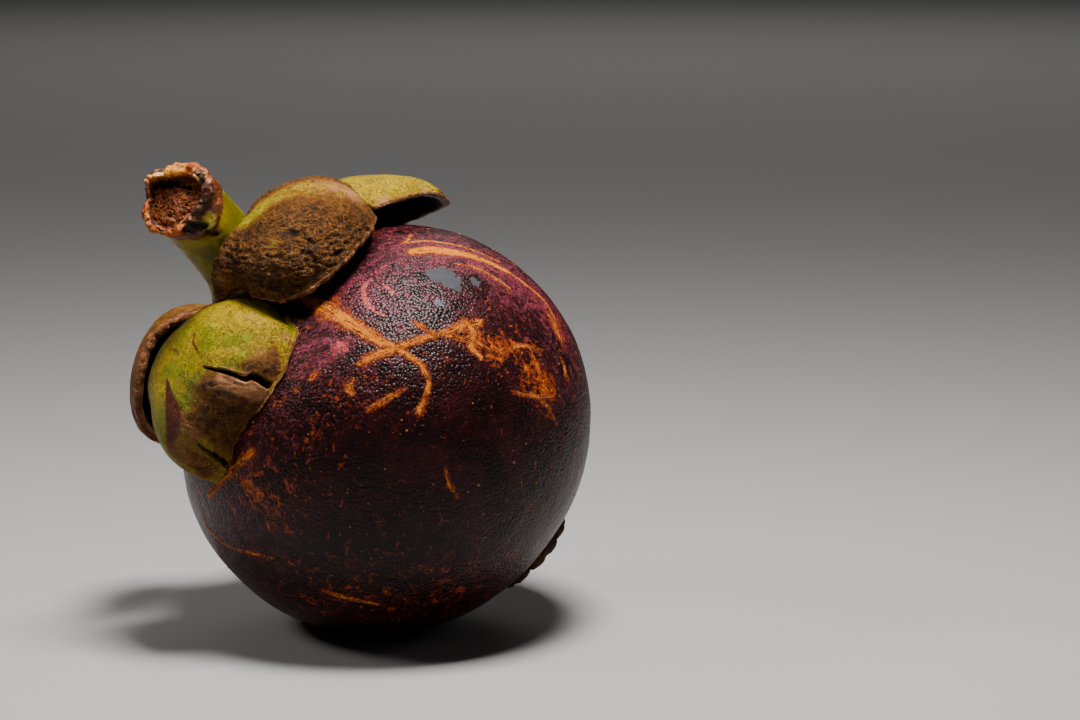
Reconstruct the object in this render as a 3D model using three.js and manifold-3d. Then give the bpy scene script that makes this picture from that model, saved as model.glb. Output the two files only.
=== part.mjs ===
// A mangosteen as picked: a round leathery rind, four thick hood-shaped sepals in two crossed pairs,
// the short green stem they grow round, and the woody flower-shaped stigma at the other end.
// The fruit leans over on its side and stands on one small flat spot. Millimetres, +Z up, and the
// origin is the middle of that spot. Each piece is built in the fruit's own frame, where z runs up
// through the stem, and the group at the end lays the whole fruit over.
import * as THREE from 'three';
import { mergeVertices } from 'three/addons/utils/BufferGeometryUtils.js';
import Module from 'manifold-3d';

const wasm = await Module();
wasm.setup();

// ---------------------------------------------------------------- driving dimensions
const DEG = Math.PI / 180;
const GAP = 0.3;                 // clearance left between pieces that touch

const RIND = {
  radius: 31.0,                  // at the widest, across the stem axis
  halfHeight: 28.3,              // centre to either end
  fullness: { stemEnd: 2.2, farEnd: 2.0 },    // 2 is an ellipse, more is squarer in the shoulder
  stemDimple: { depth: 1.2, width: 9.0 },
  farFlat: { depth: 0.3, width: 8.0 },
  waves: [                       // slow unevenness: share of the radius, lobes round, phase
    { share: 0.005, lobes: 2, phase: 0.9 },
    { share: 0.004, lobes: 3, phase: 2.1 },
  ],
  rows: 36,
  columns: 56,
};

const LEAN = 46.2 * DEG;         // stem axis away from upright
const TURN = -80.6 * DEG;        // heading of the axis that the fruit leans about
const SPOT_DEPTH = 0.75;         // how much of the rind the resting spot takes off

const STEM = {
  foot: new THREE.Vector3(0.6, 2.0, 26.0),
  bend: new THREE.Vector3(3.4, 5.5, 42.6),
  tip: new THREE.Vector3(12.0, 4.6, 48.2),
  radius: 4.8,
  corners: { height: 0.07, turn: 20 * DEG },
  flare: { radius: 9.2, length: 0.2 },       // cushion that the sepals join, length as a share of the stem
  // The swollen joint with the branch and the torn rim at its end. Reaches from the stem's line are
  // given every sixteenth of a turn, clockwise seen from the end, as are the rim's height past the
  // tip and its width. Starts and ends are shares of the stem's length.
  joint: {
    start: 0.77, end: 0.85,
    reach: [5.8, 5.7, 6.3, 6.6, 6.0, 5.2, 5.0, 4.9, 4.6, 4.1, 4.3, 4.7, 4.6, 4.6, 5.0, 5.4],
  },
  rim: {
    start: 0.89, round: 0.45,
    reach: [6.0, 5.8, 4.9, 4.5, 5.0, 5.5, 5.5, 5.5, 4.7, 4.0, 4.3, 5.0, 4.6, 4.5, 4.9, 5.5],
    height: [0.6, 0.1, -0.3, -0.2, 0.1, 0.3, 0.4, 0.5, 0.9, 0.1, 1.0, 0.9, 0.8, 0.9, 0.9, 0.8],
    width: [2.1, 1.7, 1.3, 1.2, 1.2, 1.2, 1.2, 1.2, 1.0, 0.8, 0.9, 1.6, 2.1, 2.2, 2.3, 2.3],
  },
  recess: { depth: 0.6, crown: 0.4 },        // hollow in the broken end
  steps: 16,
  segments: 32,
};

// Each sepal is a thick hood over the rind's shoulder. Its crest stands over the rind at a distance
// from the stem axis, and its fullness is as the rind's. The margin's reach from the crest and its
// lift off the rind are given every eighth of a turn, first straight outwards, and the fifth pair is
// the root by the stem. The hood ends where it has come down this share of a quarter turn from the
// crest: a little past 1, where it tucks under, and less on a side where it stands open. The margin
// waves and has one pointed ear.
const SEPAL = {
  thickness: 1.9, edge: 1.1, rings: 8, segments: 36,
  ruffle: { share: 0.012, count: 6 },
};
const SEPALS = [
  {
    name: 'sepal_front', azimuth: -54, distance: 14.5, crest: 8.2, fullness: 2.25, ends: [1.16], phase: 0.4,
    reach: [14.0, 12.6, 15.6, 14.4, 10.0, 11.0, 10.9, 8.9],
    lift: [1.6, 1.6, 1.6, 1.8, 3.0, 3.0, 2.4, 1.6],
    ear: { at: 104, reach: 1.2, width: 13 },
  },
  {
    name: 'sepal_left', azimuth: -134, distance: 16.0, crest: 10.1, fullness: 2.25, phase: 2.2,
    ends: [1.09, 0.95, 0.62, 0.44, 0.72, 1.09, 1.09, 1.09],
    reach: [11.4, 13.2, 14.6, 12.3, 9.3, 8.4, 9.2, 11.0],
    lift: [3.6, 3.4, 3.0, 2.0, 1.0, 1.6, 3.0, 3.4],
    ear: { at: 20, reach: 0.6, width: 13 },
  },
  {
    name: 'sepal_top', azimuth: 56, distance: 13.2, crest: 12.2, fullness: 2.25, ends: [1.04], phase: 1.3,
    reach: [9.6, 11.2, 12.4, 12.0, 8.4, 10.6, 12.0, 10.4],
    lift: [4.0, 4.0, 4.4, 5.0, 6.6, 7.6, 5.0, 4.2],
    ear: { at: 222, reach: 4.0, width: 8 },
  },
  {
    name: 'sepal_back', azimuth: 114, distance: 19.0, crest: 8.2, fullness: 1.8, ends: [1.02], phase: 3.0,
    reach: [15.8, 14.2, 11.0, 12.5, 13.4, 12.0, 11.0, 12.6],
    lift: [5.2, 3.2, 2.2, 2.6, 2.8, 3.0, 3.8, 4.8],
    ear: { at: 4, reach: 1.2, width: 13 },
  },
];

// The woody rosette pressed on the end away from the stem.
const STIGMA = {
  lobes: 6, radius: 7.4, centre: [0, 1.2], turn: 12 * DEG,
  notch: { radius: 0.62, sharpness: 0.4 },      // as a share of the lobes' radius
  height: 1.25, hub: 0.7, rim: 0.4,             // at the lobes' ends, and shares of it elsewhere
  groove: { depth: 0.4, sharpness: 0.6 },       // between the lobes, as a share of the height
  rings: 4, stepsPerLobe: 10,
};

const MATERIAL = {
  rind: new THREE.MeshStandardMaterial({ name: 'rind', color: 0x3a1420, roughness: 0.42 }),
  sepal: new THREE.MeshStandardMaterial({ name: 'sepal', color: 0x8f8a2a, roughness: 0.6 }),
  stem: new THREE.MeshStandardMaterial({ name: 'stem', color: 0x8a8a20, roughness: 0.55 }),
  stigma: new THREE.MeshStandardMaterial({ name: 'stigma', color: 0x2a1712, roughness: 0.85 }),
};

// ---------------------------------------------------------------- mesh helpers

// A closed surface through rings of points, all with the same count, with a point at each end.
function loft(start, rings, end) {
  const count = rings[0].length;
  const points = [start, ...rings.flat(), end];
  const faces = [];
  const at = (ring, k) => 1 + ring * count + (k % count);
  for (let k = 0; k < count; k++) {
    faces.push(0, at(0, k), at(0, k + 1));
    for (let r = 0; r + 1 < rings.length; r++) {
      faces.push(at(r, k), at(r + 1, k), at(r + 1, k + 1));
      faces.push(at(r, k), at(r + 1, k + 1), at(r, k + 1));
    }
    faces.push(points.length - 1, at(rings.length - 1, k + 1), at(rings.length - 1, k));
  }
  const geometry = new THREE.BufferGeometry();
  const numbers = points.flatMap((p) => [p.x, p.y, p.z]);
  geometry.setAttribute('position', new THREE.Float32BufferAttribute(numbers, 3));
  geometry.setIndex(faces);
  return geometry;
}

function toSolid(geometry) {
  const bare = geometry.clone();
  bare.deleteAttribute('normal');
  bare.deleteAttribute('uv');
  const merged = mergeVertices(bare, 1e-4);
  return new wasm.Manifold(new wasm.Mesh({
    numProp: 3,
    vertProperties: merged.attributes.position.array,
    triVerts: new Uint32Array(merged.index.array),
  }));
}

// The largest body of a solid, so that a scrap cut loose is dropped.
function largest(solid) {
  return solid.decompose().reduce((best, body) => (body.volume() > best.volume() ? body : best));
}

function toGeometry(solid) {
  const mesh = solid.getMesh();
  const geometry = new THREE.BufferGeometry();
  const positions = new Float32Array(mesh.numVert * 3);
  for (let i = 0; i < mesh.numVert; i++) {
    positions.set(mesh.vertProperties.subarray(i * mesh.numProp, i * mesh.numProp + 3), i * 3);
  }
  geometry.setAttribute('position', new THREE.BufferAttribute(positions, 3));
  geometry.setIndex(new THREE.BufferAttribute(mesh.triVerts, 1));
  geometry.computeVertexNormals();
  return geometry;
}

function named(name, solid, material) {
  const mesh = new THREE.Mesh(toGeometry(solid), material);
  mesh.name = name;
  return mesh;
}

// A value given at even steps of a turn, joined by a smooth curve.
function roundValue(values, around) {
  const count = values.length;
  const place = (((around / (2 * Math.PI)) * count) % count + count) % count;
  const i = Math.floor(place);
  const t = place - i;
  const [a, b, c, d] = [-1, 0, 1, 2].map((step) => values[(i + step + count) % count]);
  return b + 0.5 * t * (c - a + t * (2 * a - 5 * b + 4 * c - d + t * (3 * (b - c) + d - a)));
}

// ---------------------------------------------------------------- rind

// The rind's surface at an angle from the stem end and an angle round the stem, grown outwards.
function rindPoint(polar, around, grow = 0) {
  const s = Math.sin(polar);
  const c = Math.cos(polar);
  const power = 2 / (c > 0 ? RIND.fullness.stemEnd : RIND.fullness.farEnd);
  let radius = RIND.radius * Math.pow(Math.abs(s), power);
  for (const wave of RIND.waves) {
    radius *= 1 + wave.share * s * s * Math.sin(wave.lobes * around + wave.phase);
  }
  let height = RIND.halfHeight * Math.pow(Math.abs(c), power);
  const end = c > 0 ? RIND.stemDimple : RIND.farFlat;
  height -= end.depth * Math.exp(-((radius / end.width) ** 2));
  return new THREE.Vector3(radius * Math.cos(around), radius * Math.sin(around), Math.sign(c) * height)
    .multiplyScalar(1 + grow / RIND.halfHeight);
}

// The rind's surface over a point that is x, y off the stem axis, at one end or the other.
function rindOver(x, y, end) {
  const fullness = end > 0 ? RIND.fullness.stemEnd : RIND.fullness.farEnd;
  const polar = Math.asin(Math.pow(Math.min(1, Math.hypot(x, y) / RIND.radius), fullness / 2));
  return rindPoint(end > 0 ? polar : Math.PI - polar, Math.atan2(y, x));
}

function rindSolid(grow = 0) {
  const rings = [];
  for (let r = 1; r < RIND.rows; r++) {
    const ring = [];
    for (let k = 0; k < RIND.columns; k++) {
      ring.push(rindPoint((r / RIND.rows) * Math.PI, (k / RIND.columns) * 2 * Math.PI, grow));
    }
    rings.push(ring);
  }
  return toSolid(loft(rindPoint(0, 0, grow), rings, rindPoint(Math.PI, 0, grow)));
}

// ---------------------------------------------------------------- the way the fruit lies

const fruit = new THREE.Group();
fruit.rotation.set(LEAN, 0, TURN, 'ZYX');

function lowestPoint() {
  const steps = 360;
  let lowest = new THREE.Vector3(0, 0, Infinity);
  for (let r = 0; r <= steps; r++) {
    for (let k = 0; k < steps; k++) {
      const p = rindPoint((r / steps) * Math.PI, (k / steps) * 2 * Math.PI).applyEuler(fruit.rotation);
      if (p.z < lowest.z) lowest = p;
    }
  }
  return lowest;
}
const lowest = lowestPoint();
fruit.position.set(-lowest.x, -lowest.y, -lowest.z - SPOT_DEPTH);
fruit.updateMatrix();

function makeRind() {
  const side = 4 * RIND.radius;
  const floor = new THREE.BoxGeometry(side, side, side)
    .translate(0, 0, -side / 2)
    .applyMatrix4(fruit.matrix.clone().invert());
  return rindSolid().subtract(toSolid(floor));
}

// ---------------------------------------------------------------- stem

// How far the stem's skin lies from its line, at a share of its length and an angle round it.
function stemReach(t, around) {
  const { radius, corners, flare, joint, rim } = STEM;
  const cushion = (flare.radius - radius) * Math.exp(-((t / flare.length) ** 2));
  const bare = (radius + cushion) * (1 + corners.height * Math.cos(4 * (around + corners.turn)));
  const swollen = THREE.MathUtils.smoothstep(t, joint.start, joint.end);
  const torn = THREE.MathUtils.smoothstep(t, rim.start, 1);
  const reach = THREE.MathUtils.lerp(bare, roundValue(joint.reach, around), swollen);
  return THREE.MathUtils.lerp(reach, roundValue(rim.reach, around), torn);
}

function stemSolid(grow = 0) {
  const { foot, bend, tip, rim, recess, steps, segments } = STEM;
  const line = new THREE.QuadraticBezierCurve3(foot, bend, tip);
  const side = new THREE.Vector3().crossVectors(bend.clone().sub(foot), tip.clone().sub(bend)).normalize();
  // A ring round the line, with its reach and how far it stands forward given by the angle.
  const ringAt = (t, reach, forward) => {
    const tangent = line.getTangentAt(t);
    const other = new THREE.Vector3().crossVectors(tangent, side);
    const ring = [];
    for (let k = 0; k < segments; k++) {
      const around = (k / segments) * 2 * Math.PI;
      ring.push(line.getPointAt(t)
        .addScaledVector(tangent, forward(around))
        .addScaledVector(side, (reach(around) + grow) * Math.cos(around))
        .addScaledVector(other, -(reach(around) + grow) * Math.sin(around)));
    }
    return ring;
  };
  const rings = [];
  for (let i = 0; i <= steps; i++) {
    const t = i / steps;
    const torn = THREE.MathUtils.smoothstep(t, rim.start, 1);
    rings.push(ringAt(t, (a) => stemReach(t, a), (a) => torn * roundValue(rim.height, a)));
  }
  const top = (a) => roundValue(rim.height, a) + rim.round + grow;
  const within = (share) => (a) => roundValue(rim.reach, a) - share * roundValue(rim.width, a);
  rings.push(ringAt(1, within(0.3), top));
  rings.push(ringAt(1, within(0.6), top));
  rings.push(ringAt(1, within(1), () => -recess.depth));
  const end = tip.clone().addScaledVector(line.getTangentAt(1), recess.crown - recess.depth);
  return toSolid(loft(foot, rings, end));
}

// ---------------------------------------------------------------- sepals

// How far a sepal's widest line lies from its crest.
function marginReach(sepal, around) {
  const ruffle = 1 + SEPAL.ruffle.share * Math.sin(SEPAL.ruffle.count * around + sepal.phase);
  const { at, reach, width } = sepal.ear;
  const offEar = Math.atan2(Math.sin(around - at * DEG), Math.cos(around - at * DEG));
  const ear = reach * Math.exp(-(Math.abs(offEar / (width * DEG)) ** 1.5));
  return roundValue(sepal.reach, around) * ruffle + ear;
}

// The hood's own frame: outwards along the rind, across, and straight off the rind.
function sepalPlacing(sepal) {
  const around = sepal.azimuth * DEG;
  const [cos, sin] = [Math.cos(around), Math.sin(around)];
  const seatAt = (distance) => rindOver(distance * cos, distance * sin, 1);
  const along = seatAt(sepal.distance + 1).sub(seatAt(sepal.distance - 1)).normalize();
  const across = new THREE.Vector3(-sin, cos, 0);
  const normal = new THREE.Vector3().crossVectors(along, across).normalize();
  return new THREE.Matrix4().makeBasis(along, across, normal).setPosition(seatAt(sepal.distance));
}

function sepalSolid(sepal, grow = 0) {
  const place = sepalPlacing(sepal);
  const power = 2 / sepal.fullness;
  // A point on the hood, from 0 at the crest past 1 at its widest line, some depth under its skin.
  const shell = (share, around, depth) => {
    const angle = share * 90 * DEG;
    const reach = marginReach(sepal, around);
    const low = roundValue(sepal.lift, around) - (reach * reach) / (2 * RIND.radius);
    const out = (reach - depth) * Math.pow(Math.sin(angle), power);
    const fall = Math.cos(angle);
    const high = low + (sepal.crest - depth - low) * Math.sign(fall) * Math.pow(Math.abs(fall), power);
    return new THREE.Vector3(out * Math.cos(around), out * Math.sin(around), high).applyMatrix4(place);
  };
  const ringAt = (share, depth) => {
    const ring = [];
    for (let k = 0; k < SEPAL.segments; k++) {
      const around = (k / SEPAL.segments) * 2 * Math.PI;
      ring.push(shell(share * roundValue(sepal.ends, around), around, depth));
    }
    return ring;
  };
  const thickness = (share) => THREE.MathUtils.lerp(SEPAL.thickness, SEPAL.edge, share ** 3);
  const rings = [];
  for (let r = 1; r <= SEPAL.rings; r++) rings.push(ringAt(r / SEPAL.rings, -grow));
  for (let r = SEPAL.rings; r >= 1; r--) {
    const share = r / SEPAL.rings;
    rings.push(ringAt(share, thickness(share) + grow));
  }
  return toSolid(loft(shell(0, 0, -grow), rings, shell(0, 0, SEPAL.thickness + grow)));
}

// A sepal is trimmed by the rind and stem it grows from and by the sepals that lie over it.
function makeSepal(sepal, over) {
  let solid = sepalSolid(sepal).subtract(rindSolid(GAP)).subtract(stemSolid(GAP));
  for (const other of over) solid = solid.subtract(sepalSolid(other, GAP));
  return largest(solid);
}

// ---------------------------------------------------------------- stigma

// How near an angle is to the middle of a lobe: 1 there and 0 in a notch.
function lobeShare(around, sharpness) {
  return Math.pow(Math.abs(Math.cos((STIGMA.lobes / 2) * around)), sharpness);
}

function makeStigma() {
  const { lobes, radius, notch, centre, turn, height, hub, rim, groove } = STIGMA;
  const point = (share, around, lift) => {
    const out = radius * share * THREE.MathUtils.lerp(notch.radius, 1, lobeShare(around, notch.sharpness));
    const x = centre[0] + out * Math.cos(around + turn);
    const y = centre[1] + out * Math.sin(around + turn);
    return new THREE.Vector3(x, y, rindOver(x, y, -1).z - lift);
  };
  const top = (share, around) => {
    const dip = share * groove.depth * (1 - lobeShare(around, groove.sharpness));
    return GAP + height * THREE.MathUtils.lerp(hub, 1, share) * (1 - dip);
  };
  const count = lobes * STIGMA.stepsPerLobe;
  const ringAt = (share, lift) => {
    const ring = [];
    for (let k = 0; k < count; k++) {
      const around = (-k / count) * 2 * Math.PI;
      ring.push(point(share, around, lift(share, around)));
    }
    return ring;
  };
  const shoulder = 0.92;
  const rings = [];
  for (let r = 1; r <= STIGMA.rings; r++) rings.push(ringAt((r / STIGMA.rings) * shoulder, top));
  rings.push(ringAt(1, () => GAP + rim * height));
  rings.push(ringAt(1, () => GAP));
  rings.push(ringAt(shoulder / 2, () => GAP));
  return toSolid(loft(point(0, 0, top(0, 0)), rings, point(0, 0, GAP)));
}

// ---------------------------------------------------------------- the whole fruit

fruit.add(named('rind', makeRind(), MATERIAL.rind));
fruit.add(named('stem', largest(stemSolid().subtract(rindSolid(GAP))), MATERIAL.stem));
const [front, left, top, back] = SEPALS;
const laidOver = [
  [front, [top]],
  [left, [front, top, back]],
  [top, [back]],
  [back, []],
];
for (const [sepal, over] of laidOver) {
  fruit.add(named(sepal.name, makeSepal(sepal, over), MATERIAL.sepal));
}
fruit.add(named('stigma', makeStigma(), MATERIAL.stigma));

const mangosteen = new THREE.Group();
mangosteen.name = 'mangosteen';
mangosteen.add(fruit);

export default mangosteen;
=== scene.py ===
"""The looks of a whole mangosteen, lying on the small flat spot that it rests on.

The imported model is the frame. Each of its solids is replaced here by a finer skin of the same form:
the pebbled rind with its latex scars, four corky hooded sepals, the stalk with its broken end and
the woody stigma. Shapes are worked out in the fruit's own frame, in millimetres, with z up through
the stalk, and are then laid over into the row frame, in metres.
"""

import logging
import math
from dataclasses import dataclass
from enum import Enum
from typing import Optional, Sequence, Union

import bpy
import numpy as np
from mathutils import Matrix, Vector
from mathutils.bvhtree import BVHTree
from mathutils.kdtree import KDTree


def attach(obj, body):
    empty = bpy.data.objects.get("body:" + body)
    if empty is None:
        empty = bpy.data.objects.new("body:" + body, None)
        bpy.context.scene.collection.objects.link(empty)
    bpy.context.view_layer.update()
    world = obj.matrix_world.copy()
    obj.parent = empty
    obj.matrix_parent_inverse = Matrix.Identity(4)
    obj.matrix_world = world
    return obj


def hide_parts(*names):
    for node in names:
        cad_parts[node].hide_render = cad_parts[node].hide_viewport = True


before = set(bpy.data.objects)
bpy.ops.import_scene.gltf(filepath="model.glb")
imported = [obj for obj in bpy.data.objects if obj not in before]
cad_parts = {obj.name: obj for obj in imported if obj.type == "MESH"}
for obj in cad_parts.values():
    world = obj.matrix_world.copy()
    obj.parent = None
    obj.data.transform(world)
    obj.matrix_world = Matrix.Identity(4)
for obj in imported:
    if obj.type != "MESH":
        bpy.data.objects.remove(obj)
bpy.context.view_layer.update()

BODY = "root"
MM = 0.001
SQUARE_CENTIMETRES = 1e4  # in a square metre
FULL_TURN = 2 * math.pi
TINY = 1e-6

Colour = tuple[float, float, float]
Place = tuple[float, float, float]
Pixel = tuple[float, float]
Span = tuple[float, float]
Waves = tuple[tuple[float, int, int], ...]
Socket = bpy.types.NodeSocket
Value = Union[float, Socket]

log = logging.getLogger("mangosteen")


class Slot(Enum):
    """The record's material slots."""

    RIND = "rind"
    SEPAL = "sepal"
    STEM = "stem"
    STIGMA = "stigma"


class End(Enum):
    """The two ends of the fruit along its stalk axis."""

    STEM = 1.0
    FAR = -1.0


# ---------------------------------------------------------------- small helpers


def unit(vectors: np.ndarray) -> np.ndarray:
    """A vector, or one on each row, at a length of 1."""
    return vectors / np.linalg.norm(vectors, axis=-1, keepdims=True)


def even_turn(count: int) -> np.ndarray:
    """The angles of points set evenly round a turn, in radians."""
    return np.arange(count) / count * FULL_TURN


def linked(name: str, data: bpy.types.ID) -> bpy.types.Object:
    """A new object with its data, linked to the scene."""
    made = bpy.data.objects.new(name, data)
    bpy.context.scene.collection.objects.link(made)
    return made


# ---------------------------------------------------------------- the fruit's own frame


@dataclass(frozen=True)
class FruitForm:
    """The rind's shape and the way the fruit lies, in millimetres and degrees.

    A fullness of 2 is an ellipse and more is squarer in the shoulder. A wave is a slow unevenness:
    its share of the radius, its lobes round the fruit and its phase.
    """

    radius: float = 31.0
    half_height: float = 28.3
    stem_fullness: float = 2.2
    far_fullness: float = 2.0
    dimple_depth: float = 1.2
    dimple_width: float = 9.0
    flat_depth: float = 0.3
    flat_width: float = 8.0
    waves: tuple[tuple[float, int, float], ...] = ((0.005, 2, 0.9), (0.004, 3, 2.1))
    lean: float = 46.2
    turn: float = -80.6
    spot_depth: float = 0.75

    def surface(self, polar: np.ndarray, around: np.ndarray) -> np.ndarray:
        """Points on the rind.

        Args:
            polar: angles from the stalk end, in radians.
            around: angles round the stalk, in radians.

        Returns:
            The points, in the fruit's own frame.
        """
        s, c = np.sin(polar), np.cos(polar)
        power = 2 / np.where(c > 0, self.stem_fullness, self.far_fullness)
        radius = self.radius * np.abs(s) ** power
        for share, lobes, phase in self.waves:
            radius = radius * (1 + share * s * s * np.sin(lobes * around + phase))
        depth = np.where(c > 0, self.dimple_depth, self.flat_depth)
        width = np.where(c > 0, self.dimple_width, self.flat_width)
        height = self.half_height * np.abs(c) ** power - depth * np.exp(-((radius / width) ** 2))
        return np.stack([radius * np.cos(around), radius * np.sin(around), np.sign(c) * height], -1)

    def towards(self, points: np.ndarray) -> np.ndarray:
        """The rind's points in the same directions from the fruit's middle, in its own frame."""
        x, y, z = np.moveaxis(points, -1, 0)
        fullness = np.where(z > 0, self.stem_fullness, self.far_fullness)
        across = (np.hypot(x, y) / self.radius) ** (fullness / 2)
        along = (np.abs(z) / self.half_height) ** (fullness / 2)
        polar = np.arctan2(across, along)
        return self.surface(np.where(z > 0, polar, math.pi - polar), np.arctan2(y, x))

    def over(self, x: np.ndarray, y: np.ndarray, end: End) -> np.ndarray:
        """The rind's points over places x and y off the stalk axis, at one end of the fruit."""
        fullness = self.stem_fullness if end is End.STEM else self.far_fullness
        share = np.minimum(1.0, np.hypot(x, y) / self.radius)
        polar = np.arcsin(share ** (fullness / 2))
        return self.surface(polar if end is End.STEM else math.pi - polar, np.arctan2(y, x))

    def rested(self, points: np.ndarray, gap: float) -> np.ndarray:
        """The points, with those that lie lower than a gap over the rind lifted to that gap."""
        under = self.towards(points)
        reach = np.linalg.norm(points, axis=-1)
        least = np.linalg.norm(under, axis=-1) + gap
        scale = np.where(reach < least, least / np.maximum(reach, TINY), 1.0)
        return points * scale[..., None]

    def rotation(self) -> np.ndarray:
        """The turn from the fruit's own frame to the row frame."""
        lean, turn = math.radians(self.lean), math.radians(self.turn)
        return np.array(Matrix.Rotation(turn, 3, "Z") @ Matrix.Rotation(lean, 3, "X"))

    def middle(self) -> np.ndarray:
        """The fruit's middle in the row frame, in millimetres, from the rind's lowest point."""
        steps = 360
        polar, around = np.meshgrid(
            np.linspace(0, math.pi, steps + 1), np.linspace(0, FULL_TURN, steps, endpoint=False)
        )
        laid = self.surface(polar.ravel(), around.ravel()) @ self.rotation().T
        lowest = laid[np.argmin(laid[:, 2])]
        return -lowest - np.array([0.0, 0.0, self.spot_depth])

    def to_row(self, points: np.ndarray) -> np.ndarray:
        """Points of the fruit's own frame, laid over into the row frame, in metres."""
        return (points @ self.rotation().T + self.middle()) * MM

    def to_fruit(self, points: np.ndarray) -> np.ndarray:
        """Points of the row frame, in metres, in the fruit's own frame, in millimetres."""
        return (np.asarray(points) / MM - self.middle()) @ self.rotation()


FORM = FruitForm()


# ---------------------------------------------------------------- camera, floor and light


@dataclass(frozen=True)
class StudioCamera:
    """A long lens in front of the fruit, looking a little down on it.

    Sizes are in millimetres, angles in degrees and places in the picture in pixels.
    """

    lens: float = 100.0
    sensor: float = 36.0
    picture: tuple[int, int] = (1080, 720)
    elevation: float = 9.0
    distance: float = 443.0
    middle_pixel: Pixel = (390.0, 433.0)
    nearest: float = 10.0

    def axes(self) -> tuple[np.ndarray, np.ndarray, np.ndarray]:
        """The camera's right, up and backward directions."""
        e = math.radians(self.elevation)
        right = np.array([1.0, 0.0, 0.0])
        up = np.array([0.0, math.sin(e), math.cos(e)])
        back = np.array([0.0, -math.cos(e), math.sin(e)])
        return right, up, back

    def focal_pixels(self) -> float:
        """The lens's focal length in pixels of the picture."""
        return self.lens / self.sensor * self.picture[0]

    def position(self) -> np.ndarray:
        """The camera's place in the row frame, in metres."""
        right, up, back = self.axes()
        scale = self.distance / self.focal_pixels()
        aside = (self.middle_pixel[0] - self.picture[0] / 2) * scale
        above = (self.picture[1] / 2 - self.middle_pixel[1]) * scale
        return (FORM.middle() - aside * right - above * up + self.distance * back) * MM

    def ray(self, pixel: Pixel) -> np.ndarray:
        """The direction from the camera through a pixel."""
        right, up, back = self.axes()
        focal = self.focal_pixels()
        aside = (pixel[0] - self.picture[0] / 2) / focal
        above = (self.picture[1] / 2 - pixel[1]) / focal
        return unit(aside * right + above * up - back)

    def make(self) -> None:
        """Makes the camera and makes it the scene's own."""
        data = bpy.data.cameras.new("studio_camera")
        data.lens = self.lens
        data.sensor_width = self.sensor
        data.clip_start = self.nearest * MM
        camera = linked("studio_camera", data)
        right, up, back = (Vector(axis) for axis in self.axes())
        turn = Matrix((right, up, back)).transposed().to_4x4()
        camera.matrix_world = Matrix.Translation(Vector(self.position())) @ turn
        bpy.context.scene.camera = camera


CAMERA = StudioCamera()


@dataclass(frozen=True)
class SoftBox:
    """A square area light, aimed at the fruit or at a place. Places are in metres, power in watts."""

    name: str
    place: Place
    size: float
    power: float
    colour: Colour = (1.0, 1.0, 1.0)
    target: Optional[Place] = None

    def make(self, fruit: Vector) -> None:
        """Makes the light. Where it has no target it is aimed at the fruit's middle."""
        data = bpy.data.lights.new(self.name, "AREA")
        data.size = self.size
        data.energy = self.power
        data.color = self.colour
        light = linked(self.name, data)
        light.location = self.place
        aim = fruit if self.target is None else Vector(self.target)
        light.rotation_euler = (aim - Vector(self.place)).to_track_quat("-Z", "Y").to_euler()


@dataclass(frozen=True)
class Studio:
    """A plain pale floor under a dim sky, with soft lights above, on both sides and behind."""

    floor_side: float = 6.0
    floor_colour: Colour = (0.34, 0.338, 0.336)
    floor_roughness: float = 0.9
    sky_colour: Colour = (0.80, 0.82, 0.86)
    sky_strength: float = 0.03
    lights: tuple[SoftBox, ...] = (
        SoftBox("key_light", (0.035, -0.060, 0.33), 0.09, 2.7, (1.0, 0.97, 0.93)),
        SoftBox("left_light", (-0.34, -0.06, 0.32), 0.10, 0.60, (1.0, 0.95, 0.88)),
        SoftBox("rim_light", (0.50, 0.16, 0.24), 0.16, 0.10, (1.0, 0.93, 0.90)),
        SoftBox("rear_light", (0.10, 1.50, 1.00), 1.20, 5.0, (1.0, 0.99, 0.97), (0.1, 1.3, 0.0)),
    )

    def make(self) -> None:
        """Makes the floor, the sky and the lights."""
        half = self.floor_side / 2
        corners = [(-half, -half, 0), (half, -half, 0), (half, half, 0), (-half, half, 0)]
        mesh = bpy.data.meshes.new("floor")
        mesh.from_pydata(corners, [], [(0, 1, 2, 3)])
        floor = linked("floor", mesh)
        sketch = MaterialSketch("pale_floor")
        sketch.shade(self.floor_colour, self.floor_roughness)
        mesh.materials.append(sketch.material)

        world = bpy.data.worlds.new("studio_sky")
        world.use_nodes = True
        background = world.node_tree.nodes["Background"]
        background.inputs["Color"].default_value = (*self.sky_colour, 1.0)
        background.inputs["Strength"].default_value = self.sky_strength
        bpy.context.scene.world = world

        aim = Vector(FORM.middle() * MM)
        for light in self.lights:
            light.make(aim)


# ---------------------------------------------------------------- node trees


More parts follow.
